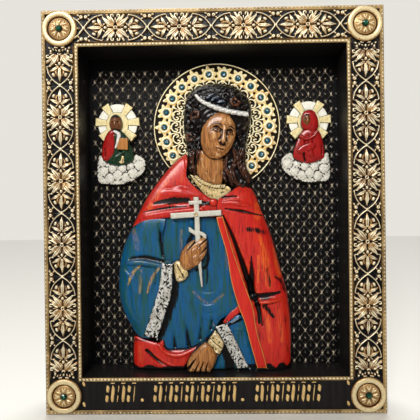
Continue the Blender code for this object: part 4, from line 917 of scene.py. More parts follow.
nearWristLook = {
    "back": (5.6, 3.4, 3.6), "stipple": 0.6,
    "outline": [(-25, 88.5), (-21, 90), (-17.4, 86), (-15.4, 82), (-18, 77.6), (-22.8, 76.4), (-24.6, 81)],
    "folds": [([(-20.6, 89.6), (-16, 83)], 0.7, 0.7), ([(-23.4, 88), (-18, 78.6)], 0.5, 0.5)],
    "shade": [([(-19.2, 90.4), (-15.6, 82.6)], 0.8, 1.3), ([(-22.8, 87.6), (-18.6, 79.4)], 0.45, 1.1)],
}
farHandLook = {
    "back": (8.6, 4.6, 4.5), "grooveDark": 0.8,
    "outline": [(-6, 40.6), (-2, 38), (1.2, 32.6), (0.4, 28), (-1.6, 24)] + corners((-3.2, boardLow),
        (-15.8, boardLow)) + [(-17.4, 25), (-16.8, 30), (-12, 36)],
    "grooves": [([(-13.2, 20), (-11.6, 25), (-9.6, 29)], [0.7, 0.4], [2.4, 0.5]),
        ([(-9.6, 20), (-8.8, 25), (-7, 29)], [0.7, 0.4], [2.4, 0.5]), ([(-6, 20), (-5.6, 25), (-4.4, 29)],
        [0.7, 0.4], [2.4, 0.5]), ([(-16.4, 24.5), (-13.4, 29), (-11, 32)], [0.9, 0.4], [2.6, 0.3])],
}
nearHandLook = {
    "back": (7.6, 5, 5), "grooveDark": 0.7,
    "outline": [(-21.6, 90), (-20.6, 94.6), (-17.2, 99.8), (-11, 103.4), (-5.6, 104.6), (-4, 102), (-4.1, 98),
        (-4.8, 93), (-8, 88.3), (-12.4, 85.4), (-17, 83.6), (-20, 86)],
    "grooves": [([(-17, 95), (-13.4, 99.4), (-9.6, 103.2)], [0.4, 0.8], [0.4, 2.4]),
        ([(-10, 97.6), (-6.8, 101), (-3.6, 103.4)], [0.4, 0.6], [0.3, 2]),
        ([(-9.4, 92.6), (-6, 96.4), (-3.4, 98.8)], [0.4, 0.6], [0.3, 2]),
        ([(-8.6, 88.8), (-5.8, 92), (-3.6, 94.2)], [0.4, 0.6], [0.3, 2])],
    "folds": [([(-12, 95.6), (-11, 96.4)], 1.6, 0.6), ([(-11.6, 91.2), (-10.6, 92)], 1.6, 0.6),
        ([(-10.6, 87.6), (-9.8, 88.2)], 1.3, 0.5)],
}

dress("tunic", tunicLook, "blue")
dress("nearSleeve", sleeveLook, "blue")
carve("nearCuff", nearCuff, nearCuffSurface, "brocade", 0.3, 4.0, soft=0.9)
dress("capeShoulder", capeLook, "red")
dress("cloak", cloakLook, "red")
dress("cloakBand", bandLook, "redBand", 0.3, 4.0)
dress("waistCloth", waistLook, "red")
dress("cloakLining", liningLook, "red", 0.3, 4.0)
dress("farSleeve", farSleeveLook, "blue")
dress("farCuff", farCuffLook, "brocade", 0.3, 4.0, soft=0.9)
dress("farWrist", farWristLook, "gilt", 0.3, 4.0, soft=0.8)
dress("nearWrist", nearWristLook, "gilt", 0.3, 4.0, soft=0.8)
dress("farHand", farHandLook, "skin", 0.25, 4.0, soft=0.9)
dress("nearHand", nearHandLook, "skin", 0.25, 4.0, soft=0.9)
carve("cloakButton", oval((0, 125.3), 2.7, 2.7), lambda x, z, d: 14.0 + 2.4 * dome(d, 2.7), "red", 0.25, 8.0)
print("garments and hands carved")

# the hand cross
crossLook = {"top": 18, "root": 9, "uprightTop": (-10.6, 128.8), "fist": (-9.5, 95), "under": (-9.6, 97),
    "tip": (-7.6, 74), "lean": 3.13, "crossing": (-10.75, 118.2), "bars": [((-10.75, 118.2), 15.5, 1.75),
    ((-11.05, 125.4), 4.1, 1.2)], "ring": [(0.5, 0), (0.5, 0.9), (0.9, 1.1), (1.3, 0.9), (1.3, 0)],
    "foot": corners((-15.3, 107.9), (-15.3, 110.4), (-13.9, 110.1)) + [(-12.1, 108.7), (-10.4, 108.1),
    (-8.4, 108)] + corners((-6.3, 107.2), (-4.5, 105.7), (-4.7, 103.3), (-6.2, 103.6), (-7.2, 105))
    + [(-8.7, 105.5), (-10.1, 105.1), (-11.8, 105.6), (-13.1, 106.5)]}


def flatBar(outline, top):
    return carvedMesh("bar", outline, lambda x, z, d: top - 0.5 + 0.5 * ease(d, 0.0, 0.55), 0.25,
        crossLook["root"], soft=0.6, steps=2)


def barMesh(start, end, halfStart, halfEnd, top):
    start, end = np.array(start, float), np.array(end, float)
    way = (end - start) / np.linalg.norm(end - start)
    side = np.array([-way[1], way[0]])
    ends = start - halfStart * side, end - halfEnd * side, end + halfEnd * side, start + halfStart * side
    return flatBar(corners(*[tuple(p) for p in ends]), top)


bars = [barMesh(crossLook["uprightTop"], crossLook["fist"], 1.6, 1.6, crossLook["top"]),
    barMesh(crossLook["under"], crossLook["tip"], 1.5, 0.5, crossLook["top"] - 0.3)]
bars.append(flatBar(crossLook["foot"], crossLook["top"] + 0.1))
for number, (centre, halfLength, halfWidth) in enumerate(crossLook["bars"], 1):
    angle = math.radians(crossLook["lean"])
    way = halfLength * np.array([math.cos(angle), math.sin(angle)])
    bars.append(barMesh(centre - way, centre + way, halfWidth, halfWidth, crossLook["top"] + 0.15 * number))
onBoard("handCross", joined("handCross", bars), "silver")
onBoard("crossRing", turnedMesh("crossRing", crossLook["ring"], crossLook["crossing"],
    planes["ground"] - crossLook["top"], 20), "gilt")


# beads that follow a surface: the path's height is read from the surface under it
def beadRow(name, path, surface, spacing, radius, finish, sink=0.15):
    line = curveThrough(path, False)
    made = surface(line[:, 0], line[:, 1], np.full(len(line), 0.6))
    height = made[0] if isinstance(made, tuple) else made
    points = np.stack([line[:, 0], planes["ground"] - height + sink, line[:, 1]], 1)
    return grown(name, "beads", pathMesh(name, points), Finish=finishes[finish], Spacing=spacing * mm,
        Radius=radius * mm, Stretch=1.0)


cuffRows = [(nearCuffLeft, nearCuffSurface), (nearCuffRight, nearCuffSurface),
    (farCuffLeft, overBody(farCuffLook)), (farCuffRight, overBody(farCuffLook))]
cuffBeads = [beadRow("cuffBeads", path, surface, 1.15, 0.42, "brocade") for path, surface in cuffRows]
onBoard("cuffBeads", joined("cuffBeads", cuffBeads), "brocade")

# head, hair and neck
headLook = {"centre": (3.4, 167.2), "lean": 14, "turn": 15, "halfWidth": 11.2, "halfHeight": 16, "edge": 10.5,
    "rise": 7.5, "levelsAt": 10.5, "chinDrop": 1.2}
# the face, set out by halves and thirds: paths in half widths and half heights, half width, rise in mm
middleFace = {
    "raised": [([(0, 0.32), (0.06, 0.05), (0.1, -0.24)], [1, 1.1, 1.7], [0.7, 2, 3.2]),
        ([(-0.05, -0.25), (-0.09, -0.28)], 0.9, 1.5), ([(0.21, -0.25), (0.25, -0.28)], 0.9, 1.5),
        ([(-0.2, -0.53), (-0.05, -0.485), (0.06, -0.5), (0.17, -0.485), (0.3, -0.53)],
        [0.4, 0.8, 0.7, 0.8, 0.4], [0.2, 0.9, 0.7, 0.9, 0.2]), ([(-0.12, -0.6), (0.06, -0.62), (0.22, -0.6)],
        [0.4, 0.95, 0.4], [0.2, 1, 0.2]), ([(0.02, -0.84), (0.08, -0.85)], 2.3, 1.1)],
    "dark": [([(0.01, -0.31), (-0.06, -0.31)], 0.45, 1.1), ([(0.17, -0.31), (0.24, -0.31)], 0.45, 1.1),
        ([(-0.22, -0.545), (-0.05, -0.55), (0.06, -0.56), (0.17, -0.55), (0.31, -0.545)], [0.25, 0.34, 0.25],
        1.15), ([(-0.05, -0.7), (0.06, -0.71), (0.16, -0.7)], 0.5, 0.6)],
    # painted highlights on the nose and the forehead
    "wornAndHighlight": [([(0.05, 0.1), (0.09, -0.18)], 0.6, 0.8), ([(-0.1, 0.55), (0.15, 0.56)], 2.6, 0.7)],
}
browPath = [(0.68, 0.24), (0.5, 0.34), (0.3, 0.35), (0.14, 0.28)]
# what stands on both sides: eye sockets, balls, lids, brows and cheeks
pairedFace = {
    "raised": [([(0.62, 0.12), (0.4, 0.16), (0.17, 0.12)], [1.2, 2.3, 1.5], [-0.6, -1.7, -1.1]),
        ([(0.54, 0.11), (0.39, 0.12), (0.24, 0.10)], [0.5, 1.15, 0.5], [0.3, 1.4, 0.3]),
        ([(0.58, 0.10), (0.5, 0.165), (0.38, 0.185), (0.26, 0.155), (0.2, 0.09)], 0.42, [0.3, 0.8, 0.8, 0.3]),
        (browPath, [0.6, 1.1, 1.1, 0.7], [0.3, 0.8, 0.8, 0.4]), ([(0.5, -0.12), (0.44, -0.2)], 3, 0.7)],
    "dark": [([(0.57, 0.10), (0.49, 0.15), (0.38, 0.165), (0.27, 0.14), (0.22, 0.09)], 0.32, 1.2),
        ([(0.40, 0.115), (0.37, 0.115)], 0.55, 1.2), ([(0.52, 0.08), (0.39, 0.06), (0.26, 0.075)], 0.28, 0.7),
        (browPath, [0.3, 0.6, 0.65, 0.4], 0.85)],
    # painted highlights on the cheeks
    "wornAndHighlight": [([(0.46, -0.08), (0.42, -0.16)], 1.6, 0.5)],
}


# a place on the face from its half width and half height, which a head turned aside moves over
def facePoint(across, up):
    turned = math.sin(math.asin(max(-1, min(1, across))) + math.radians(headLook["turn"]))
    u, v = turned * headLook["halfWidth"], up * headLook["halfHeight"]
    lean = math.radians(-headLook["lean"])
    return (headLook["centre"][0] + u * math.cos(lean) - v * math.sin(lean), headLook["centre"][1] + u
        * math.sin(lean) + v * math.cos(lean))


def faceRidges(label):
    both = [([(side * u, v) for u, v in path], *rest) for side in (-1, 1) for path,
        *rest in pairedFace[label]]
    return [([facePoint(*p) for p in path], *rest) for path, *rest in middleFace[label] + both]


def faceSurface(x, z, depth):
    lean, (u, v) = math.radians(headLook["lean"]), headLook["centre"]
    up = ((x - u) * math.sin(lean) + (z - v) * math.cos(lean)) / headLook["halfHeight"]
    face = headLook["edge"] + headLook["rise"] * dome(depth, headLook["levelsAt"]) + ridges(x, z,
        faceRidges("raised"))
    face = face - headLook["chinDrop"] * np.clip(-0.35 - up, 0, 1)
    return face, highest(x, z, faceRidges("dark")), highest(x, z, faceRidges("wornAndHighlight"))


hairLook = {
    "outline": [(-13.7, 195), (-4.6, 199.3), (5.2, 200), (14.8, 197.5), (22.4, 190), (24.4, 181.7),
        (21.8, 168), (20.4, 158), (20.6, 148), (24.6, 139), (21, 133.4), (14, 132.4), (10.4, 134.6),
        (5, 138.6), (4.8, 150), (-7.4, 152), (-7.6, 139.4), (-12.6, 140), (-16.4, 146), (-16, 156),
        (-18.2, 172), (-17.6, 186)],
    # rings of hair at the temples: centre, radius of the ring
    "rings": [(-14.4, 166.6, 2), (-10.6, 179.2, 2.2), (-13.8, 173.6, 2.1), (-15.4, 181.6, 1.9),
        (-11, 186.6, 2), (-9.6, 170.4, 1.6), (-14.2, 159.4, 1.8), (-10.2, 162.4, 1.5), (13.6, 187.2, 2.3),
        (18.4, 184.4, 2.1), (14.6, 192.2, 2.2), (8.6, 190.6, 2), (20.4, 189, 1.8), (20.8, 176.4, 1.9),
        (17.8, 171, 1.8)],
    "locks": [([(-8.6, 160), (-9.4, 153), (-7.8, 147), (-9.6, 140.4)], [1.2, 1.5, 1.4, 0.9],
        [2.2, 2.8, 2.4, 1.6]), ([(-12, 158), (-13.4, 151), (-11.6, 145), (-11.6, 140.6)],
        [1.4, 1.6, 1.4, 0.9], [2.2, 2.6, 2.2, 1.4]), ([(-14.8, 156), (-15.4, 150), (-14, 145)], [0.8, 1, 0.8],
        1.8), ([(15.4, 168), (18.6, 161), (16.2, 153), (17.2, 146), (22, 138.2)], [1.5, 2, 1.7, 1.8, 1.3],
        [2.2, 3, 2.4, 2.6, 2]), ([(12.4, 160), (14.4, 152), (11.8, 145), (13.8, 138), (18.6, 134.6)],
        [1.2, 1.8, 1.6, 1.6, 1.1], [2.2, 3.4, 2.8, 3.2, 2.2]),
        ([(9.4, 155), (7.2, 148), (10.2, 142), (11.6, 136)], [0.9, 1.6, 1.5, 1], [1.8, 3.2, 3, 2.4]),
        ([(20.6, 168), (19.8, 160), (19.4, 152), (20.2, 146), (23.6, 140)], [1, 1.3, 1.2, 1.3, 0.9],
        [1.6, 2.2, 2, 2.2, 1.4]), ([(6, 151), (5.8, 145), (7.8, 138.4)], [0.8, 1.2, 0.9], [1.6, 2.6, 1.8])],
    "crown": [([(-15, 190), (-8, 196), (2, 197.4), (12, 195.6), (20, 190)], 1.4, 1.3),
        ([(-9.6, 192.6), (-1, 194.4), (8, 193.6)], 1.3, 1.2), ([(-4, 183.6), (-8.4, 181.4), (-9, 175)], 1.2,
        1.4), ([(22.2, 186), (23, 181), (22, 174)], 1.1, 1.5), ([(16.6, 178.6), (18.4, 175), (16.4, 166)], 1,
        1.5)],
}


# the hair's mass, its crown, rings that stand up round a black eye, and long locks split by a vein
def hairSurface(x, z, depth):
    crown = outlineDepth(x, z, oval((4.2, 180), 19.5, 19.2))
    top = 6.5 + 3.0 * dome(depth, 5.0)
    top = np.maximum(top, 6.0 + 9.2 * dome(crown, 17.0))
    top = top + 0.3 * np.sin(1.3 * x + 2.2 * np.sin(0.4 * z)) * np.sin(1.1 * z + 1.9 * np.sin(0.5 * x))
    curls, eyes, brown = 0 * x, 0 * x, 0 * x
    for number, (u, v, radius) in enumerate(hairLook["rings"]):
        away = np.hypot(x - u, z - v)
        share = (np.arctan2(z - v, x - u) / (2 * math.pi) + 0.37 * number) % 1.0
        spiral = radius * (0.55 + 0.75 * share)
        curl = 2.2 * np.sqrt(np.clip(1 - ((away - spiral) / (0.5 * radius)) ** 2, 0, 1))
        curls = np.maximum(curls, curl * (1 - 0.5 * share))
        eyes = np.maximum(eyes, 1.3 * ease(0.45 * radius - away, 0.0, 0.4 * radius))
        if number in (0, 1, 8):
            brown = np.maximum(brown, 0.3 * curl)
    locks = highest(x, z, hairLook["locks"], vein=0.45)
    top = top + np.maximum(np.maximum(curls, locks), highest(x, z, hairLook["crown"], vein=0.45))
    return top, eyes, np.where(z < 158, 0.22 * locks, brown)


neckOutline = [(-8.8, 158), (5.4, 158), (6.2, 140), (3, 133.5), (-5, 135), (-10.4, 141)]
neckFolds = [([(-7.4, 152), (-4.6, 144), (-1, 138.4)], 0.9, 0.6), ([(3.4, 153), (2.2, 144), (0.4, 138.4)],
    0.9, 0.5)]
yokeOutline = [(-14.6, 143), (-6.8, 138.4), (0, 135.6), (8.4, 135.6), (10.6, 132.4), (3.4, 127.4),
    (1.2, 126.4), (-6, 130.8)]
ropePath = [(-11.6, 142), (-6.4, 137.9), (-0.3, 135.5), (7.4, 135.2)]
bandPath = [(-10.4, 191.5), (-6.5, 187.2), (1.8, 183), (11.7, 180.2), (22.2, 179)]
foldPath = [(-4.6, 189.8), (0, 189.4), (4.4, 187.6), (8.2, 185.4)]


carve("hair", hairLook["outline"], hairSurface, "hair", 0.33, 2.5, soft=1.0)
carve("neck", neckOutline, lambda x, z, d: 8.2 + 2.8 * dome(d, 6.5) + highest(x, z, neckFolds), "skin", 0.3,
    5.0)
carve("face", oval(headLook["centre"], headLook["halfWidth"], headLook["halfHeight"], -headLook["lean"]),
    faceSurface, "skin", 0.2, 6.0, soft=1.1)
carve("yoke", yokeOutline, lambda x, z, d: 10.6 + 0.8 * dome(d, 3.0) + 0.6 * stipple(x, z), "gilt", 0.3, 5.0,
    soft=0.8)
onBoard("collarRope", rollMesh("collarRope", ropePath, [1.3, 1.6, 1.5], 10.4, 3.6, 0.22, (1.5, 0.3), 8.0),
    "gilt")
onBoard("headRoll", rollMesh("headRoll", bandPath, [1.2, 1.7, 1.9, 1.9, 1.7], 13.5, [3.2, 5.4, 6.2, 5.4, 2.4],
    0.22, (3.7, 0.2), 8.0), "whiteCloth")
onBoard("headCloth", rollMesh("headCloth", foldPath, [1.4, 3.0, 2.6, 1.6], 13.4, [2.6, 5.0, 4.6, 3.0], 0.25,
    (4.4, 0.5), 8.0), "darkCloth")
print("head carved")

# nimbus: one pierced gold ring, drawn once for each of its 22 places and mirrored about its middle
nimbusLook = {
    "centre": (2.5, 173.6), "radius": 40.3, "floor": 2.6, "pitch": 0.3,
    "ring": 33.4, "stones": 17, "around": 22, "first": -49.1,
    "tileRadius": 28,
    # at this radius the scrolls below keep their true width
    "starPoints": 8, "starValley": 4.35, "starTip": 1.6, "collar": 2.75, "seatRise": 0.9,
    "rim": (39.85, 0.45, 1), "stone": (2.05, 1.25), "stoneBase": 3.5,
    # scrolls: (across from the middle of a place, distance from the nimbus centre), half width, rise
    "scrolls": [([(0, 28.9), (1.7, 28.4), (2.9, 27), (2.7, 25.4), (1.5, 25.1), (1.1, 26.2)], 0.55, 1.3),
        ([(4, 30.4), (4, 28.6), (4, 27.3)], [0.9, 0.5, 0.35], 1.2), ([(4, 26.9), (4, 24.3)], [0.35, 0.7],
        1.2), ([(4, 23.9), (2.9, 23.3), (1.5, 23.3), (0.5, 22.2), (0.9, 21.1), (1.9, 21.4)], 0.55, 1.3),
        ([(0, 25), (0, 23.4)], [0.3, 0.6], 1.1), ([(3.2, 21.6), (4, 21.2)], 0.5, 1.1),
        ([(0, 19.7), (4, 19.7)], 0.5, 1.1)],
}
nimbusPlaces = []
for k in range(nimbusLook["stones"]):
    angle = math.radians(nimbusLook["first"] + 360 / nimbusLook["around"] * k)
    nimbusPlaces.append((nimbusLook["centre"][0] + nimbusLook["ring"] * math.cos(angle),
        nimbusLook["centre"][1] + nimbusLook["ring"] * math.sin(angle)))


def piercedGold(x, z, depth):
    look = nimbusLook
    u, v = x - look["centre"][0], z - look["centre"][1]
    radius, angle = np.hypot(u, v), np.arctan2(v, u) - math.radians(look["first"])
    step = 2 * math.pi / look["around"]
    offset = angle - step * np.round(angle / step)
    made = highest(np.abs(offset) * look["tileRadius"], radius, look["scrolls"])
    # the star-edged setting of each stone, with a raised collar
    across, out = radius * np.sin(offset), radius * np.cos(offset) - look["ring"]
    away, swing = np.hypot(across, out), np.arctan2(across, out)
    ragged = 1 + 0.45 * np.sin(5 * angle + 3 * swing)
    star = look["starValley"] + ragged * look["starTip"] * np.abs(np.cos(look["starPoints"] / 2 * swing)) ** 2
    setting = look["seatRise"] * ease(star - away, 0.0, 0.6)
    setting = setting + 0.55 * np.sqrt(np.clip(1 - ((away - look["collar"]) / 0.5) ** 2, 0, 1))
    rimRadius, rimHalf, rimRise = look["rim"]
    rim = rimRise * np.sqrt(np.clip(1 - ((radius - rimRadius) / rimHalf) ** 2, 0, 1))
    return look["floor"] + np.maximum(np.maximum(made, setting), rim)


# a round stone with a flat table, eight star facets and a slanting crown
def cutStone(radius, height):
    rings = [(0.5, height, 0.5), (0.84, height * 0.62, 0.0), (1.0, height * 0.25, 0.5), (1.0, 0.0, 0.5)]
    points, lifts = [], []
    for share, rise, shift in rings:
        for i in range(8):
            turned = (i + shift) * math.pi / 4
            points.append((radius * share * math.cos(turned), -rise, radius * share * math.sin(turned)))
            lifts.append(rise)
    faces = [list(range(8)), list(range(24, 32))[::-1]]
    for i in range(8):
        j = (i + 1) % 8
        faces += [[i, j, 8 + j], [i, 8 + j, 8 + i], [8 + i, 8 + j, 16 + i], [8 + j, 16 + j, 16 + i],
            [16 + i, 16 + j, 24 + j, 24 + i]]
    return fixNormals(meshOf("cutStone", np.array(points) * mm, faces, [False] * len(faces), {"lift": lifts}))


carve("nimbus", oval(nimbusLook["centre"], nimbusLook["radius"], nimbusLook["radius"], count=32), piercedGold,
    "nimbus", nimbusLook["pitch"], 0.3, soft=0.8)
stoneMotif = motifObject("stoneMotif", cutStone(*nimbusLook["stone"]))
stonePoints = pointsMesh("stonePoints", [(x, planes["ground"] - nimbusLook["stoneBase"], z) for x,
    z in nimbusPlaces], [0.35 * k for k in range(len(nimbusPlaces))])
newPiece("nimbusStones", grown("nimbusStones", "motifs", stonePoints, Motif=stoneMotif,
    Finish=finishes["blueGlass"], Jitter=0.03, Seed=2), [finishes["blueGlass"]], "blue_glass",
    *[f"nimbus_stone_{k:02d}" for k in range(1, nimbusLook["stones"] + 1)])
print("nimbus set with stones")

# the two small figures, drawn once about their middle and mirrored
figureLook = {
    "middle": (60.8, 176.3), "rayAngles": (5, 56, 124, 175, 222, 318),
    "ray": ((5.5, -1.7), (14.2, -2.9), (14.2, 2.9), (5.5, 1.7)),
    "lumps": [(9, 146, 3.2), (5, 141.6, 3), (0, 143.6, 3.4), (-5, 142, 3), (-9.6, 144.6, 3.2),
        (-13.6, 149.4, 3.2), (9.6, 151.6, 2.8), (3.2, 147.4, 2.6), (-3, 147.6, 2.6), (-8.4, 149, 2.4)],
    "cloud": [(12.4, 155), (12.8, 140), (5.4, 137.6), (-3, 137.6), (-10, 140), (-17, 146), (-17.4, 153),
        (-11.5, 156.5), (-8.5, 151.5), (0, 150), (7, 151.6), (9, 155.4)],
    "robe": [(9.6, 154), (8.2, 165), (5, 171), (-1, 172.4), (-6, 168), (-9.8, 159), (-10.4, 153.2),
        (-6, 150.4), (0, 149.2), (7, 151.5)],
}


def smallFigure(side):
    middle = (side * figureLook["middle"][0], figureLook["middle"][1])
    tag = "Left" if side < 0 else "Right"
    middle = (side * 60.8, 176.3)
    tag = "Left" if side < 0 else "Right"

    def at(points):
        return [(middle[0] + side * u, v) for u, v in points]

    def cloudSurface(x, z, depth):
        top = 3.4 + 1.2 * dome(depth, 2.0)
        puffs = 0 * x
        for u, v, r in figureLook["lumps"]:
            puffs = np.maximum(puffs, 1.3 * np.sqrt(np.clip(1 - np.hypot(x - middle[0] - side * u, z - v) / r,
                0, 1)))
        cracks = 0.35 * np.abs(np.sin(1.5 * x + 2.0 * np.sin(0.8 * z))
            * np.sin(1.3 * z + 1.7 * np.sin(0.9 * x)))
        return top + puffs + cracks

    carve("cloud" + tag, at(figureLook["cloud"]), cloudSurface, "cloud", 0.3, 0.3, soft=0.9)
    carve("glory" + tag, oval(middle, 12.6, 12.6), lambda x, z, d: 2.8 + 0.5 * dome(d, 1.0), "glory", 0.35,
        0.3)
    rays = []
    for angle in figureLook["rayAngles"]:
        way = np.array([math.cos(math.radians(angle)), math.sin(math.radians(angle))])
        across = np.array([-way[1], way[0]])
        outline = corners(*[tuple(np.array(middle) + r * way + w * across) for r, w in figureLook["ray"]])
        rays.append(carvedMesh("ray", outline, lambda x, z, d: 3.4 + 0.7 * dome(d, 1.2), 0.35, 0.3, steps=2))
    rays.append(carvedMesh("headGlory", oval((middle[0], middle[1] - 0.4), 7.4, 7.8), lambda x, z,
        d: 3.7 + 0.6 * dome(d, 1.0), 0.35, 0.3))
    onBoard("gloryRays" + tag, joined("gloryRays", rays), "rays")
    def drape(x, z):
        cuts = [(at([(-2, 160), (-4, 156), (-3, 151)]), 0.8, 1.0), (at([(7.4, 160), (7.4, 155)]), 0.6, 0.6)]
        lifts = [(at([(-5, 166), (-4, 158), (1, 154)]), 1.2, 0.9), (at([(0.6, 168), (0, 160), (1.6, 153)]),
            1.1, 0.8)]
        return highest(x, z, lifts) - ridges(x, z, cuts)

    carve("robe" + tag, at(figureLook["robe"]), lambda x, z, d: 4.6 + 2.6 * dome(d, 4.5) + drape(x, z),
        "green" if side < 0 else "smallRed", 0.25, 0.3, soft=0.8)
    if side < 0:
        mantle = at([(9.8, 155), (8.4, 165), (5, 171.4), (1.0, 171.8), (0.4, 163), (1.6, 156), (6.0, 152.2)])
        carve("mantleLeft", mantle, lambda x, z, d: 5.6 + 2.4 * dome(d, 3.6) + drape(x, z), "smallRed", 0.25,
            3.0, soft=0.8)
        carve("bookLeft", corners((-59.8, 166.6), (-53.2, 166.2), (-53.2, 158.8), (-60.0, 159.2)), lambda x,
            z, d: 9.0 + 0.25 * dome(d, 0.5), "book", 0.25, 4.0, steps=2)
        carve("hemLeft", at([(-0.6, 155.2), (-4.4, 155.4), (-4.6, 151.2), (-1, 151)]), lambda x, z,
            d: 6.2 + 0.8 * dome(d, 1.2), "gilt", 0.25, 3.0)
        shawl = rollMesh("shawlLeft", at([(1.4, 171), (-1.6, 169), (-1.0, 164), (0.6, 160)]),
            [0.8, 1.4, 1.1, 0.5], 8.2, 1.2, 0.25, None, 4.0)
        onBoard("shawlLeft", shawl, "whiteCloth")
    else:
        veil = at([(5.6, 172), (5.4, 177), (3.4, 181.6), (0, 183), (-3.8, 181.6), (-5.4, 177), (-5.2, 172),
            (-2, 169.6), (3, 169.4)])
        carve("veilRight", veil, lambda x, z, d: 5.6 + 3.0 * dome(d, 4.0), "smallRed", 0.25, 3.0, soft=0.8)
        carve("sleeveRight", at([(-4.4, 161), (-7.6, 158), (-7.2, 155.4), (-1, 156.6), (3.6, 159.6),
            (1.4, 162.4)]), lambda x, z, d: 7.2 + 1.2 * dome(d, 1.8), "smallRed", 0.25, 3.0, soft=0.8)
        collar = rollMesh("collarRight", at([(-7.4, 166.6), (-3, 164.4), (2, 166), (4.6, 170)]),
            [0.7, 1.2, 1.2, 0.7], 7.0, 2.0, 0.25, None, 4.0)
        onBoard("collarRight", collar, "smallRed")
    headX = middle[0] + side * (0.6 if side < 0 else -1.9)
    half = (4.2, 5.8) if side < 0 else (3.0, 4.2)
    centreZ = 176.0 if side < 0 else 176.4

    # a small plain face: brow, nose and a beard or chin, laid out by halves
    def headSurface(x, z, depth):
        u, v = (x - headX) / half[0], (z - centreZ) / half[1]
        top = 5.0 + (4.4 if side < 0 else 5.0) * dome(depth, half[0])
        nose = ridge(x, z, [(headX, centreZ + 0.1 * half[1]), (headX, centreZ - 0.28 * half[1])], [0.4, 0.7],
            [0.5, 1.1])
        eyeZ = centreZ + 0.08 * half[1]
        eyes = sum(ridge(x, z, [(headX + s * share * half[0], eyeZ) for share in (0.4, 0.48)], 0.62, 0.9)
            for s in (-1, 1))
        cap = 0.5 * ease(v, 0.45, 0.6)
        shade = np.maximum(ease(v, 0.48, 0.62), 0.8 * eyes)
        if side < 0:
            shade = np.maximum(shade, 0.8 * ease(-v, 0.5, 0.7))
        return top + nose - 0.6 * eyes + cap, shade, 0 * x

    carve("head" + tag, oval((headX, centreZ), *half), headSurface, "darkSkin", 0.2, 3.5, soft=0.7)


smallFigure(-1)
smallFigure(1)
print("small figures carved")

# the board's ground and its diaper pattern
boardLook = {"columnPitch": 7.22, "rowPitch": 9.75, "columns": 21, "rows": 20, "rise": 0.62, "centreZ": 115.8}


def boxMesh(name, low, high):
    points = [(x, y, z) for x in (low[0], high[0]) for y in (low[1], high[1]) for z in (low[2], high[2])]
    faces = [[0, 1, 3, 2], [4, 6, 7, 5], [0, 4, 5, 1], [2, 3, 7, 6], [0, 2, 6, 4], [1, 5, 7, 3]]
    return fixNormals(meshOf(name, np.array(points) * mm, faces, [False] * 6,
        {"relief": np.zeros(8), "lift": np.zeros(8)}))


boardReach = sizes["rebate"] - sizes["gap"]
onBoard("board", boxMesh("board", (-openX - boardReach, planes["ground"], openLow - boardReach),
    (openX + boardReach, planes["back"], openHigh + boardReach)), "ground")


# one lattice crossing: four thin sharp-backed arms, an upright barb where they meet, a bud in the cell
def crossingMesh(look):
    points, faces, lifts = [], [], []

    def prism(start, end, halfStart, halfEnd, topStart, topEnd):
        start, end = np.array(start), np.array(end)
        way = (end - start) / np.linalg.norm(end - start)
        side = np.array([-way[1], way[0]])
        at = len(points)
        for p, half, top in ((start, halfStart, topStart), (end, halfEnd, topEnd)):
            for q, h in ((p - half * side, 0.0), (p, top), (p + half * side, 0.0)):
                points.append((q[0], -h, q[1]))
                lifts.append(h)
        faces.extend([[at + a for a in face] for face in ((0, 1, 4, 3), (1, 2, 5, 4), (0, 3, 5, 2), (0, 2, 1),
            (3, 4, 5))])

    def boss(u, v, radius, high):
        at = len(points)
        for k in range(8):
            angle = k * math.pi / 4 + 0.4
            points.append((u + radius * math.cos(angle), 0.0, v + 1.25 * radius * math.sin(angle)))
        points.append((u, -high, v))
        lifts.extend([0.0] * 8 + [high])
        faces.extend([[at + k, at + (k + 1) % 8, at + 8] for k in range(8)])
        faces.append([at + k for k in range(8)])

    a, b, rise = look["columnPitch"] / 2, look["rowPitch"] / 2, look["rise"]
    for sx in (-1, 1):
        for sz in (-1, 1):
            prism((0, 0), (sx * a * 0.5, sz * b * 0.5), 0.55, 0.34, rise * 1.5, rise * 0.9)
    prism((0, -2.0), (0, 0.1), 0.15, 1.1, rise * 0.6, rise * 2.3)
    prism((0, 2.4), (0, 0.1), 0.15, 1.1, rise * 0.6, rise * 2.3)
    boss(a, 0, 1.25, rise * 0.95)
    boss(a, 2.2, 0.5, rise * 0.7)
    return fixNormals(meshOf("crossing", np.array(points) * mm, faces, [False] * len(faces),
        {"relief": np.array(lifts) * 0.4, "lift": lifts}))


crossing = motifObject("crossingMotif", crossingMesh(boardLook))
diaper = grown("diaper", "lattice", pointsMesh("none", [(0, 0, 0)]), Motif=crossing,
    Finish=finishes["ground"], Columns=boardLook["columns"], Rows=boardLook["rows"],
    Column_Pitch=boardLook["columnPitch"] * mm, Row_Pitch=boardLook["rowPitch"] * mm,
    Centre=(0.0, (planes["ground"] - 0.02) * mm, boardLook["centreZ"] * mm))
onBoard("diaper", diaper, "ground")
print("board laid")

# the frame
frameLook = {
    # distance in from the outer edge, and depth along y, once round the moulding
    "section": [(0, 19), (0, -15.9), (0.3, -16.2), (2, -16.2), (2.3, -15.9), (2.5, -15.2), (3.1, -15.2),
        (3.2, -15.4), (18.5, -15.4), (19, -15.3), (19.5, -15.9), (19.8, -16.2), (21.3, -16.2), (21.6, -15.9),
        (21.6, 9.1), (15.6, 9.1), (15.6, 19)],
    # beaded arrises: distance in from the outer edge, spacing, radius, stretch along the row
    "beadRows": [(0.85, 2.3, 0.6, 1.5), (sizes["border"] - 0.95, 2.15, 0.72, 1.6)],
}


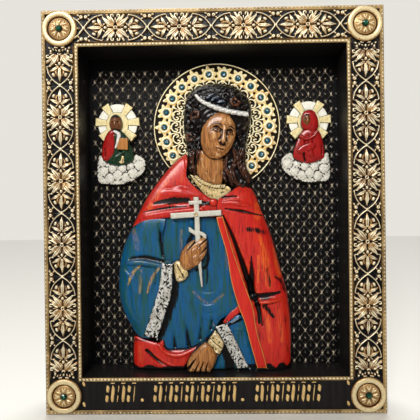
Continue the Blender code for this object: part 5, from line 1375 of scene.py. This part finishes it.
def ringMesh(section):
    points, faces = [], []
    count = len(section)
    halfX, height = sizes["width"] / 2, sizes["height"]
    for sx, sz in ((-1, 0), (1, 0), (1, 1), (-1, 1)):
        for inset, y in section:
            points.append((sx * (halfX - inset), y, height - inset if sz else inset))
    for k in range(4):
        for i in range(count):
            j, n = (i + 1) % count, (k + 1) % 4
            faces.append([k * count + i, n * count + i, n * count + j, k * count + j])
    lifts = np.tile([max(0.0, planes["band"] - y) for _, y in section], 4)
    zeros = np.zeros(len(points))
    return fixNormals(meshOf("frameBody", np.array(points) * mm, faces, [False] * len(faces),
        {"relief": zeros, "lift": lifts, "rim": zeros + 3, "dark": zeros, "wornAndHighlight": zeros}))


frameBody = onFrame("frameBody", ringMesh(frameLook["section"]), "frameStain", "beads")
for side in frameBody.data.polygons:  # the two ridges under the beads are bronze, the rest is black stain
    if side.center.y < (planes["band"] - 0.45) * mm:
        side.material_index = 1


def rectangle(inset, y):
    x, low, high = sizes["width"] / 2 - inset, inset, sizes["height"] - inset
    return [(-x, y, low), (x, y, low), (x, y, high), (-x, y, high)]


edges = [grown("edgeBeads", "beads", pathMesh("edge", rectangle(inset, planes["band"] - 0.5), True),
    Finish=finishes["beads"], Spacing=pitch * mm, Radius=radius * mm, Stretch=stretch) for inset, pitch,
    radius, stretch in frameLook["beadRows"]]
onFrame("edgeBeads", liftFrom(joined("edgeBeads", edges), planes["band"]), "beads")

# half of one oval of leaf work: s runs from the crossing to the middle of the oval, t to either side
leafLook = {
    "length": 37.8, "halfBand": 8.3, "pitch": 0.285, "inset": 10.85, "endLength": 6.4, "capLength": 4.2,
    "plain": [([(0, 0), (3.4, 4.15), (7.2, 6.6), (11, 7.5)], [0.46, 0.34, 0.3], [1.7, 1.6, 1.6]),
        ([(11, 7.5), (11.5, 6.4), (11.2, 5.4)], 0.3, 1.4), ([(-0.6, 0), (0.6, 0)], 0.55, 1.7),
        ([(1.3, 6.5), (1.5, 6.6)], 1.2, 1.9), ([(2.7, 5.4), (3.3, 5)], 0.5, 1.4), ([(2.9, 7.4), (3.5, 7.7)],
        0.6, 1.5), ([(5.9, 3.5), (6.6, 3.8)], 1, 1.8), ([(12.7, 0), (13.1, 0)], 1, 1.9),
        ([(11.9, 1.6), (12.4, 2.4)], 0.5, 1.4),
        ([(18.2, 3.2), (17.4, 4.6), (16.4, 6), (16.4, 7.4), (17.6, 7.6), (17.7, 6.5)], [0.6, 0.55, 0.45],
        1.8), ([(18.9, 4.2), (18.9, 5.8)], [0.5, 0.35], 1.4), ([(14.6, 6.9), (14, 7.9)], [0.55, 0.3], 1.5)],
    "veined": [([(2.2, 0), (5.8, 0), (9.6, 0)], [0.2, 1.35, 1], [1.1, 2.2, 1.8]),
        ([(10.9, 1), (9.6, 3), (8.2, 6)], [0.8, 1.15, 0.3], [1.6, 2, 1.2]),
        ([(5.4, 1.5), (7.6, 2.3), (9.4, 1.7)], [0.2, 0.7, 0.4], [1, 1.6, 1.2]),
        ([(17.2, 1.2), (14.6, 3), (11.2, 6.1)], [0.9, 1.55, 0.3], [1.6, 2.3, 1.4]),
        ([(17.8, 2.2), (15.8, 4.8), (13.2, 7.9)], [0.6, 1.1, 0.25], [1.5, 2.1, 1.3]),
        ([(16.4, 0.8), (14.6, 1.2), (13.4, 2.6)], [0.6, 0.85, 0.3], [1.4, 1.8, 1.1])],
    "pellets": [([(1, 5), (1.5, 5.1)], 0.75, 1.6), ([(2.2, 3.6), (2.6, 3.7)], 0.6, 1.5),
        ([(1.4, 0), (1.9, 0)], 0.7, 1.6), ([(3, 5.6), (3.4, 6)], 0.6, 1.5), ([(3.4, 1.2), (3.6, 2.8)],
        [0.35, 0.5], 1.4), ([(1.6, 1.8), (2.2, 2.2)], 0.4, 1.3)],
    "rosette": [([(18.8, 0), (19, 0)], 1.4, 2)],
    "edges": [([(-1, 8.15), (9, 8.15), (20, 8.15)], 0.16, 0.9)],
    "pits": [([(18.85, 0), (18.95, 0)], 0.65, 1.4), ([(1.4, 6.5), (1.5, 6.5)], 0.4, 0.9)],
}


def leafSurface(x, z, depth):
    t = np.abs(z)
    top = np.maximum(highest(x, t, leafLook["plain"]), highest(x, t, leafLook["veined"], vein=0.35))
    top = np.maximum(top, highest(x, t, leafLook["rosette"] + leafLook["edges"])) - ridges(x, t,
        leafLook["pits"])
    return 0.08 + np.maximum(top, 0)


def pelletSurface(x, z, depth):
    return 0.08 + highest(x, np.abs(z), leafLook["pellets"] + leafLook["edges"])


def leafTile(length, surface):
    reach = leafLook["halfBand"]
    outline = corners((0, -reach), (length, -reach), (length, reach), (0, reach))
    mesh = carvedMesh("leafTile", outline, surface, leafLook["pitch"], 0.0, soft=0.9, plane=0.0, steps=2)
    return motifObject("leafTile", mesh)


# lays one tile at each place; both are turned about the front
def leafRun(name, tile, places, turns):
    points = [(x, planes["band"], z) for x, z in places]
    return grown(name, "motifs", pointsMesh(name, points, turns), Motif=tiles[tile],
        Finish=finishes["ornament"], Jitter=0.0, Seed=1)


tiles = {"half": leafTile(leafLook["length"] / 2, leafSurface), "end": leafTile(leafLook["endLength"],
    leafSurface), "cap": leafTile(leafLook["capLength"], pelletSurface)}
stileX, railZ = sizes["width"] / 2 - leafLook["inset"], sizes["height"] - leafLook["inset"]
stileZ = [sizes["height"] / 2 + leafLook["length"] * k for k in (-2, -1, 0, 1, 2)]
for side, name in ((-1, "leafStileLeft"), (1, "leafStileRight")):
    places = [(side * stileX, z) for z in stileZ for _ in (0, 1)]
    run = leafRun(name, "half", places, [-math.pi / 2, math.pi / 2] * len(stileZ))
    caps = [(side * stileX, stileZ[-1] + leafLook["length"] / 2),
        (side * stileX, stileZ[0] - leafLook["length"] / 2)]
    onFrame(name, joined(name, [run, leafRun("caps", "cap", caps, [-math.pi / 2, math.pi / 2])]), "ornament")
railX = [leafLook["length"] * k for k in (-2, -1, 0, 1, 2)]
railTiles = [leafRun("rail", "half", [(x, railZ) for x in railX[:-1] + railX[1:]], [0.0] * 4 + [math.pi] * 4),
    leafRun("ends", "end", [(railX[0], railZ), (railX[-1], railZ)], [math.pi, 0.0])]
onFrame("leafRail", joined("leafRail", railTiles), "ornament")
print("frame ornament laid")

# corner medallions: a broad dished ring, a sunk middle with petals, and a green stone
medallionLook = {
    "inset": 11.1, "petals": 8, "stone": (2.2, 1.6),
    # radius and height out from the band
    "profile": [(0, 1.7), (6.2, 1.7), (6.5, 1.3), (6.7, 0.5), (7, 0.5), (7.2, 1.9), (7.6, 2.35), (8.6, 2.5),
        (9.4, 2.5), (10, 2.2), (10.4, 1.6), (10.5, 1), (10.5, -0.6), (0, -0.6)],
}
medallionPlaces = [(side * (sizes["width"] / 2 - medallionLook["inset"]), z) for side in (-1, 1)
    for z in (medallionLook["inset"], sizes["height"] - medallionLook["inset"])]
discs = [turnedMesh("medallion", medallionLook["profile"], place, planes["band"], 64)
    for place in medallionPlaces]
onFrame("medallions", fixNormals(joined("medallions", discs)), "medallion")


def petalSurface(x, z, depth):
    return 1.5 + 1.1 * dome(depth, 0.8) - 1.9 * ridge(x, z, [(4.2, 0), (5.0, 0)], [0.3, 0.5], 1.0)


petalOutline = [(2, 0), (3.2, 0.75), (4.6, 1.3), (5.5, 0.8), (5.5, -0.8), (4.6, -1.3), (3.2, -0.75)]
petal = carvedMesh("petal", petalOutline, petalSurface, 0.26, 0.8, soft=0.7, plane=0.0)
petalMotif = motifObject("petalMotif", petal)
petalPoints = [(x, planes["band"], z) for x, z in medallionPlaces for _ in range(medallionLook["petals"])]
petalTurns = [2 * math.pi * k / medallionLook["petals"] for _ in medallionPlaces
    for k in range(medallionLook["petals"])]
petals = grown("medallionPetals", "motifs", pointsMesh("petals", petalPoints, petalTurns), Motif=petalMotif,
    Finish=finishes["medallion"], Jitter=0.0, Seed=1)
onFrame("medallionPetals", petals, "medallion")
cornerMotif = motifObject("cornerStoneMotif", cutStone(*medallionLook["stone"]))
cornerPoints = pointsMesh("corners", [(x, planes["face"] - 0.8, z) for x, z in medallionPlaces],
    [0.2, 0.5, 0.9, 0.3])
newPiece("cornerStones", grown("cornerStones", "motifs", cornerPoints, Motif=cornerMotif,
    Finish=finishes["greenGlass"], Jitter=0.0, Seed=1), [finishes["greenGlass"]], "green_glass",
    *[f"corner_stone_{k}" for k in (1, 2, 3, 4)])


# the field of marks on the lower rail: rows of short leaning strokes, thick and thin, which spell nothing
strokeLook = {
    "low": 7.2, "high": 17, "rise": 0.6, "thick": 0.95, "thin": 0.32, "pitch": 3.05, "dashes": 18.3,
        "seed": 11,
    "groups": [(-66, -46.8), (-37.4, 12.8), (23, 62.7)], "dots": [-43.6, 16], "line": (-77, 77, 3),
    "buds": [(-78.4, 17.9), (-78.4, 5.7), (78.4, 17.9), (78.4, 5.7)],
}


def strokeMeshes(look):
    chance = random.Random(look["seed"])
    low, high, middle = look["low"], look["high"], (look["low"] + look["high"]) / 2
    lowered = planes["band"]
    made = []
    for start, end in look["groups"]:
        count = round((end - start) / look["pitch"])
        for k in range(count):
            x = start + (end - start) * (k + 0.5) / count
            lean = 0.5 + chance.uniform(-0.15, 0.15)
            heavy = look["thin"] if k % 3 == 2 else look["thick"]
            spans = [(low, high)] if k % 2 else [(low, middle - 0.9), (middle + 0.9, high)]
            for foot, top in spans:
                path = [(x + lean * (foot - middle) * 0.2, foot), (x + lean * (top - middle) * 0.2, top)]
                made.append(rollMesh("stroke", path, [heavy * 0.7, heavy, heavy, heavy * 0.7], 0.1,
                    look["rise"], 0.32, None, -0.3, lowered))
            if k % 2:
                dash = [(x - 1.3, look["dashes"]), (x + 1.3, look["dashes"])]
                made.append(rollMesh("dash", dash, [0.28, 0.34, 0.28], 0.05, 0.3, 0.2, None, -0.3, lowered))
    for x in look["dots"]:
        made.append(carvedMesh("dot", oval((x, low + 1.0), 1.0, 1.0), lambda a, b,
            d: 0.1 + look["rise"] * dome(d, 1.0), 0.25, -0.3, plane=lowered))
    for x, z in look["buds"]:
        made.append(carvedMesh("bud", oval((x, z), 0.8, 1.5, 20), lambda a, b, d: 0.1 + 0.5 * dome(d, 0.8),
            0.25, -0.3, plane=lowered))
    start, end, z = look["line"]
    line = corners((start, z - 0.17), (end, z - 0.17), (end, z + 0.17), (start, z + 0.17))
    made.append(carvedMesh("railLine", line, lambda a, b, d: 0.1 + 0.25 * dome(d, 0.25), 0.5, -0.3,
        plane=lowered, steps=1))
    return made


onFrame("inscriptionStrokes", joined("inscriptionStrokes", strokeMeshes(strokeLook)), "strokes")
for motif in [o for o in bpy.data.objects if o.name.split(".")[0].endswith(("Motif", "Tile"))]:
    bpy.data.objects.remove(motif)
print("frame finished")

# a plain pale floor and wall, a soft key light from the front and a strip light overhead for the gloss
for name in ("Cube", "Light", "Camera"):
    if name in bpy.data.objects:
        bpy.data.objects.remove(bpy.data.objects[name])
stageLook = {
    "floor": "#f1eee6", "floorReach": 1.6, "wall": "#efece4", "wallStrength": 0.92, "ambient": 0.14,
    "key": {"place": (-0.15, -0.93, 0.53), "size": (0.34, 0.26), "power": 10, "gloss": False, "paint": True},
    "strip": {"place": (-0.28, -0.52, 0.66), "size": (0.9, 0.24), "power": 8, "gloss": True, "paint": False},
    "sky": {"toward": (0, -0.45, -1), "spread": 0.6, "strength": 2.3},
}
floorReach, floorZ = stageLook["floorReach"], -0.0002
floorMesh = meshOf("floor", [(x * floorReach, y * floorReach, floorZ) for x, y in ((-1, -1), (1, -1), (1, 1),
    (-1, 1))], [[0, 1, 2, 3]])
floorPiece = linked(bpy.data.objects.new("floor", floorMesh))
floorPaint = bpy.data.materials.new("matt white painted shelf")
floorPaint.use_nodes = True
for label, value in (("Base Color", linear(stageLook["floor"])), ("Roughness", 0.6)):
    floorPaint.node_tree.nodes["Principled BSDF"].inputs[label].default_value = value
floorMesh.materials.append(floorPaint)
floorPiece.visible_glossy = False  # a bright floor mirrored in the varnish would grey the black stain


# the wall is only seen: what the gloss mirrors is a dim room, so black stain stays black
def paleRoom():
    world = bpy.context.scene.world or bpy.data.worlds.new("studio")
    bpy.context.scene.world = world
    world.use_nodes = True
    tree = world.node_tree
    seen = tree.nodes["Background"]
    seen.inputs[0].default_value = linear(stageLook["wall"])
    seen.inputs[1].default_value = stageLook["wallStrength"]
    dim = add(tree, "ShaderNodeBackground", Color=linear(stageLook["wall"]), Strength=stageLook["ambient"])
    path = add(tree, "ShaderNodeLightPath")
    both = add(tree, "ShaderNodeMixShader", in0=path.outputs["Is Camera Ray"], in1=dim.outputs[0],
        in2=seen.outputs[0])
    output = next(node for node in tree.nodes if node.type == "OUTPUT_WORLD")
    tree.links.new(both.outputs[0], output.inputs["Surface"])


def softLight(name, target):
    look = stageLook[name]
    data = bpy.data.lights.new(name, "AREA")
    data.shape = "RECTANGLE"
    data.size, data.size_y = look["size"]
    data.energy = look["power"]
    lamp = linked(bpy.data.objects.new(name, data))
    lamp.location = look["place"]
    lamp.rotation_euler = (Vector(target) - Vector(look["place"])).to_track_quat("-Z", "Y").to_euler()
    lamp.visible_glossy, lamp.visible_diffuse = look["gloss"], look["paint"]


# a wide high sun from behind: it lights the shelf evenly and never reaches the carved side
def highSun():
    look = stageLook["sky"]
    data = bpy.data.lights.new("sky", "SUN")
    data.energy = look["strength"]
    data.angle = look["spread"]
    lamp = linked(bpy.data.objects.new("sky", data))
    lamp.rotation_euler = Vector(look["toward"]).to_track_quat("-Z", "Y").to_euler()


paleRoom()
highSun()
for name in ("key", "strip"):
    softLight(name, (0, 0, 0.12))
bpy.context.scene.view_settings.view_transform = "Standard"
cameraLook = {"place": (2.72, -298.35, 122.37), "yaw": 0.0169, "pitch": -0.0057, "roll": 0.0117,
    "lens": 478 / 420 * 36}
camera = linked(bpy.data.objects.new("camera", bpy.data.cameras.new("camera")))
camera.data.sensor_width = 36.0
camera.data.lens = cameraLook["lens"]
camera.data.clip_start = 0.01
turn = Matrix.Rotation(cameraLook["yaw"], 3, "Z") @ Matrix.Rotation(cameraLook["pitch"], 3,
    "X") @ Matrix.Rotation(cameraLook["roll"], 3, "Y")
right, forward, up = turn.col[0], turn.col[1], turn.col[2]
camera.matrix_world = Matrix.Translation([c * mm for c in cameraLook["place"]]) @ Matrix(((right.x, up.x,
    -forward.x), (right.y, up.y, -forward.y), (right.z, up.z, -forward.z))).to_4x4()
bpy.context.scene.camera = camera

print("scene ready")
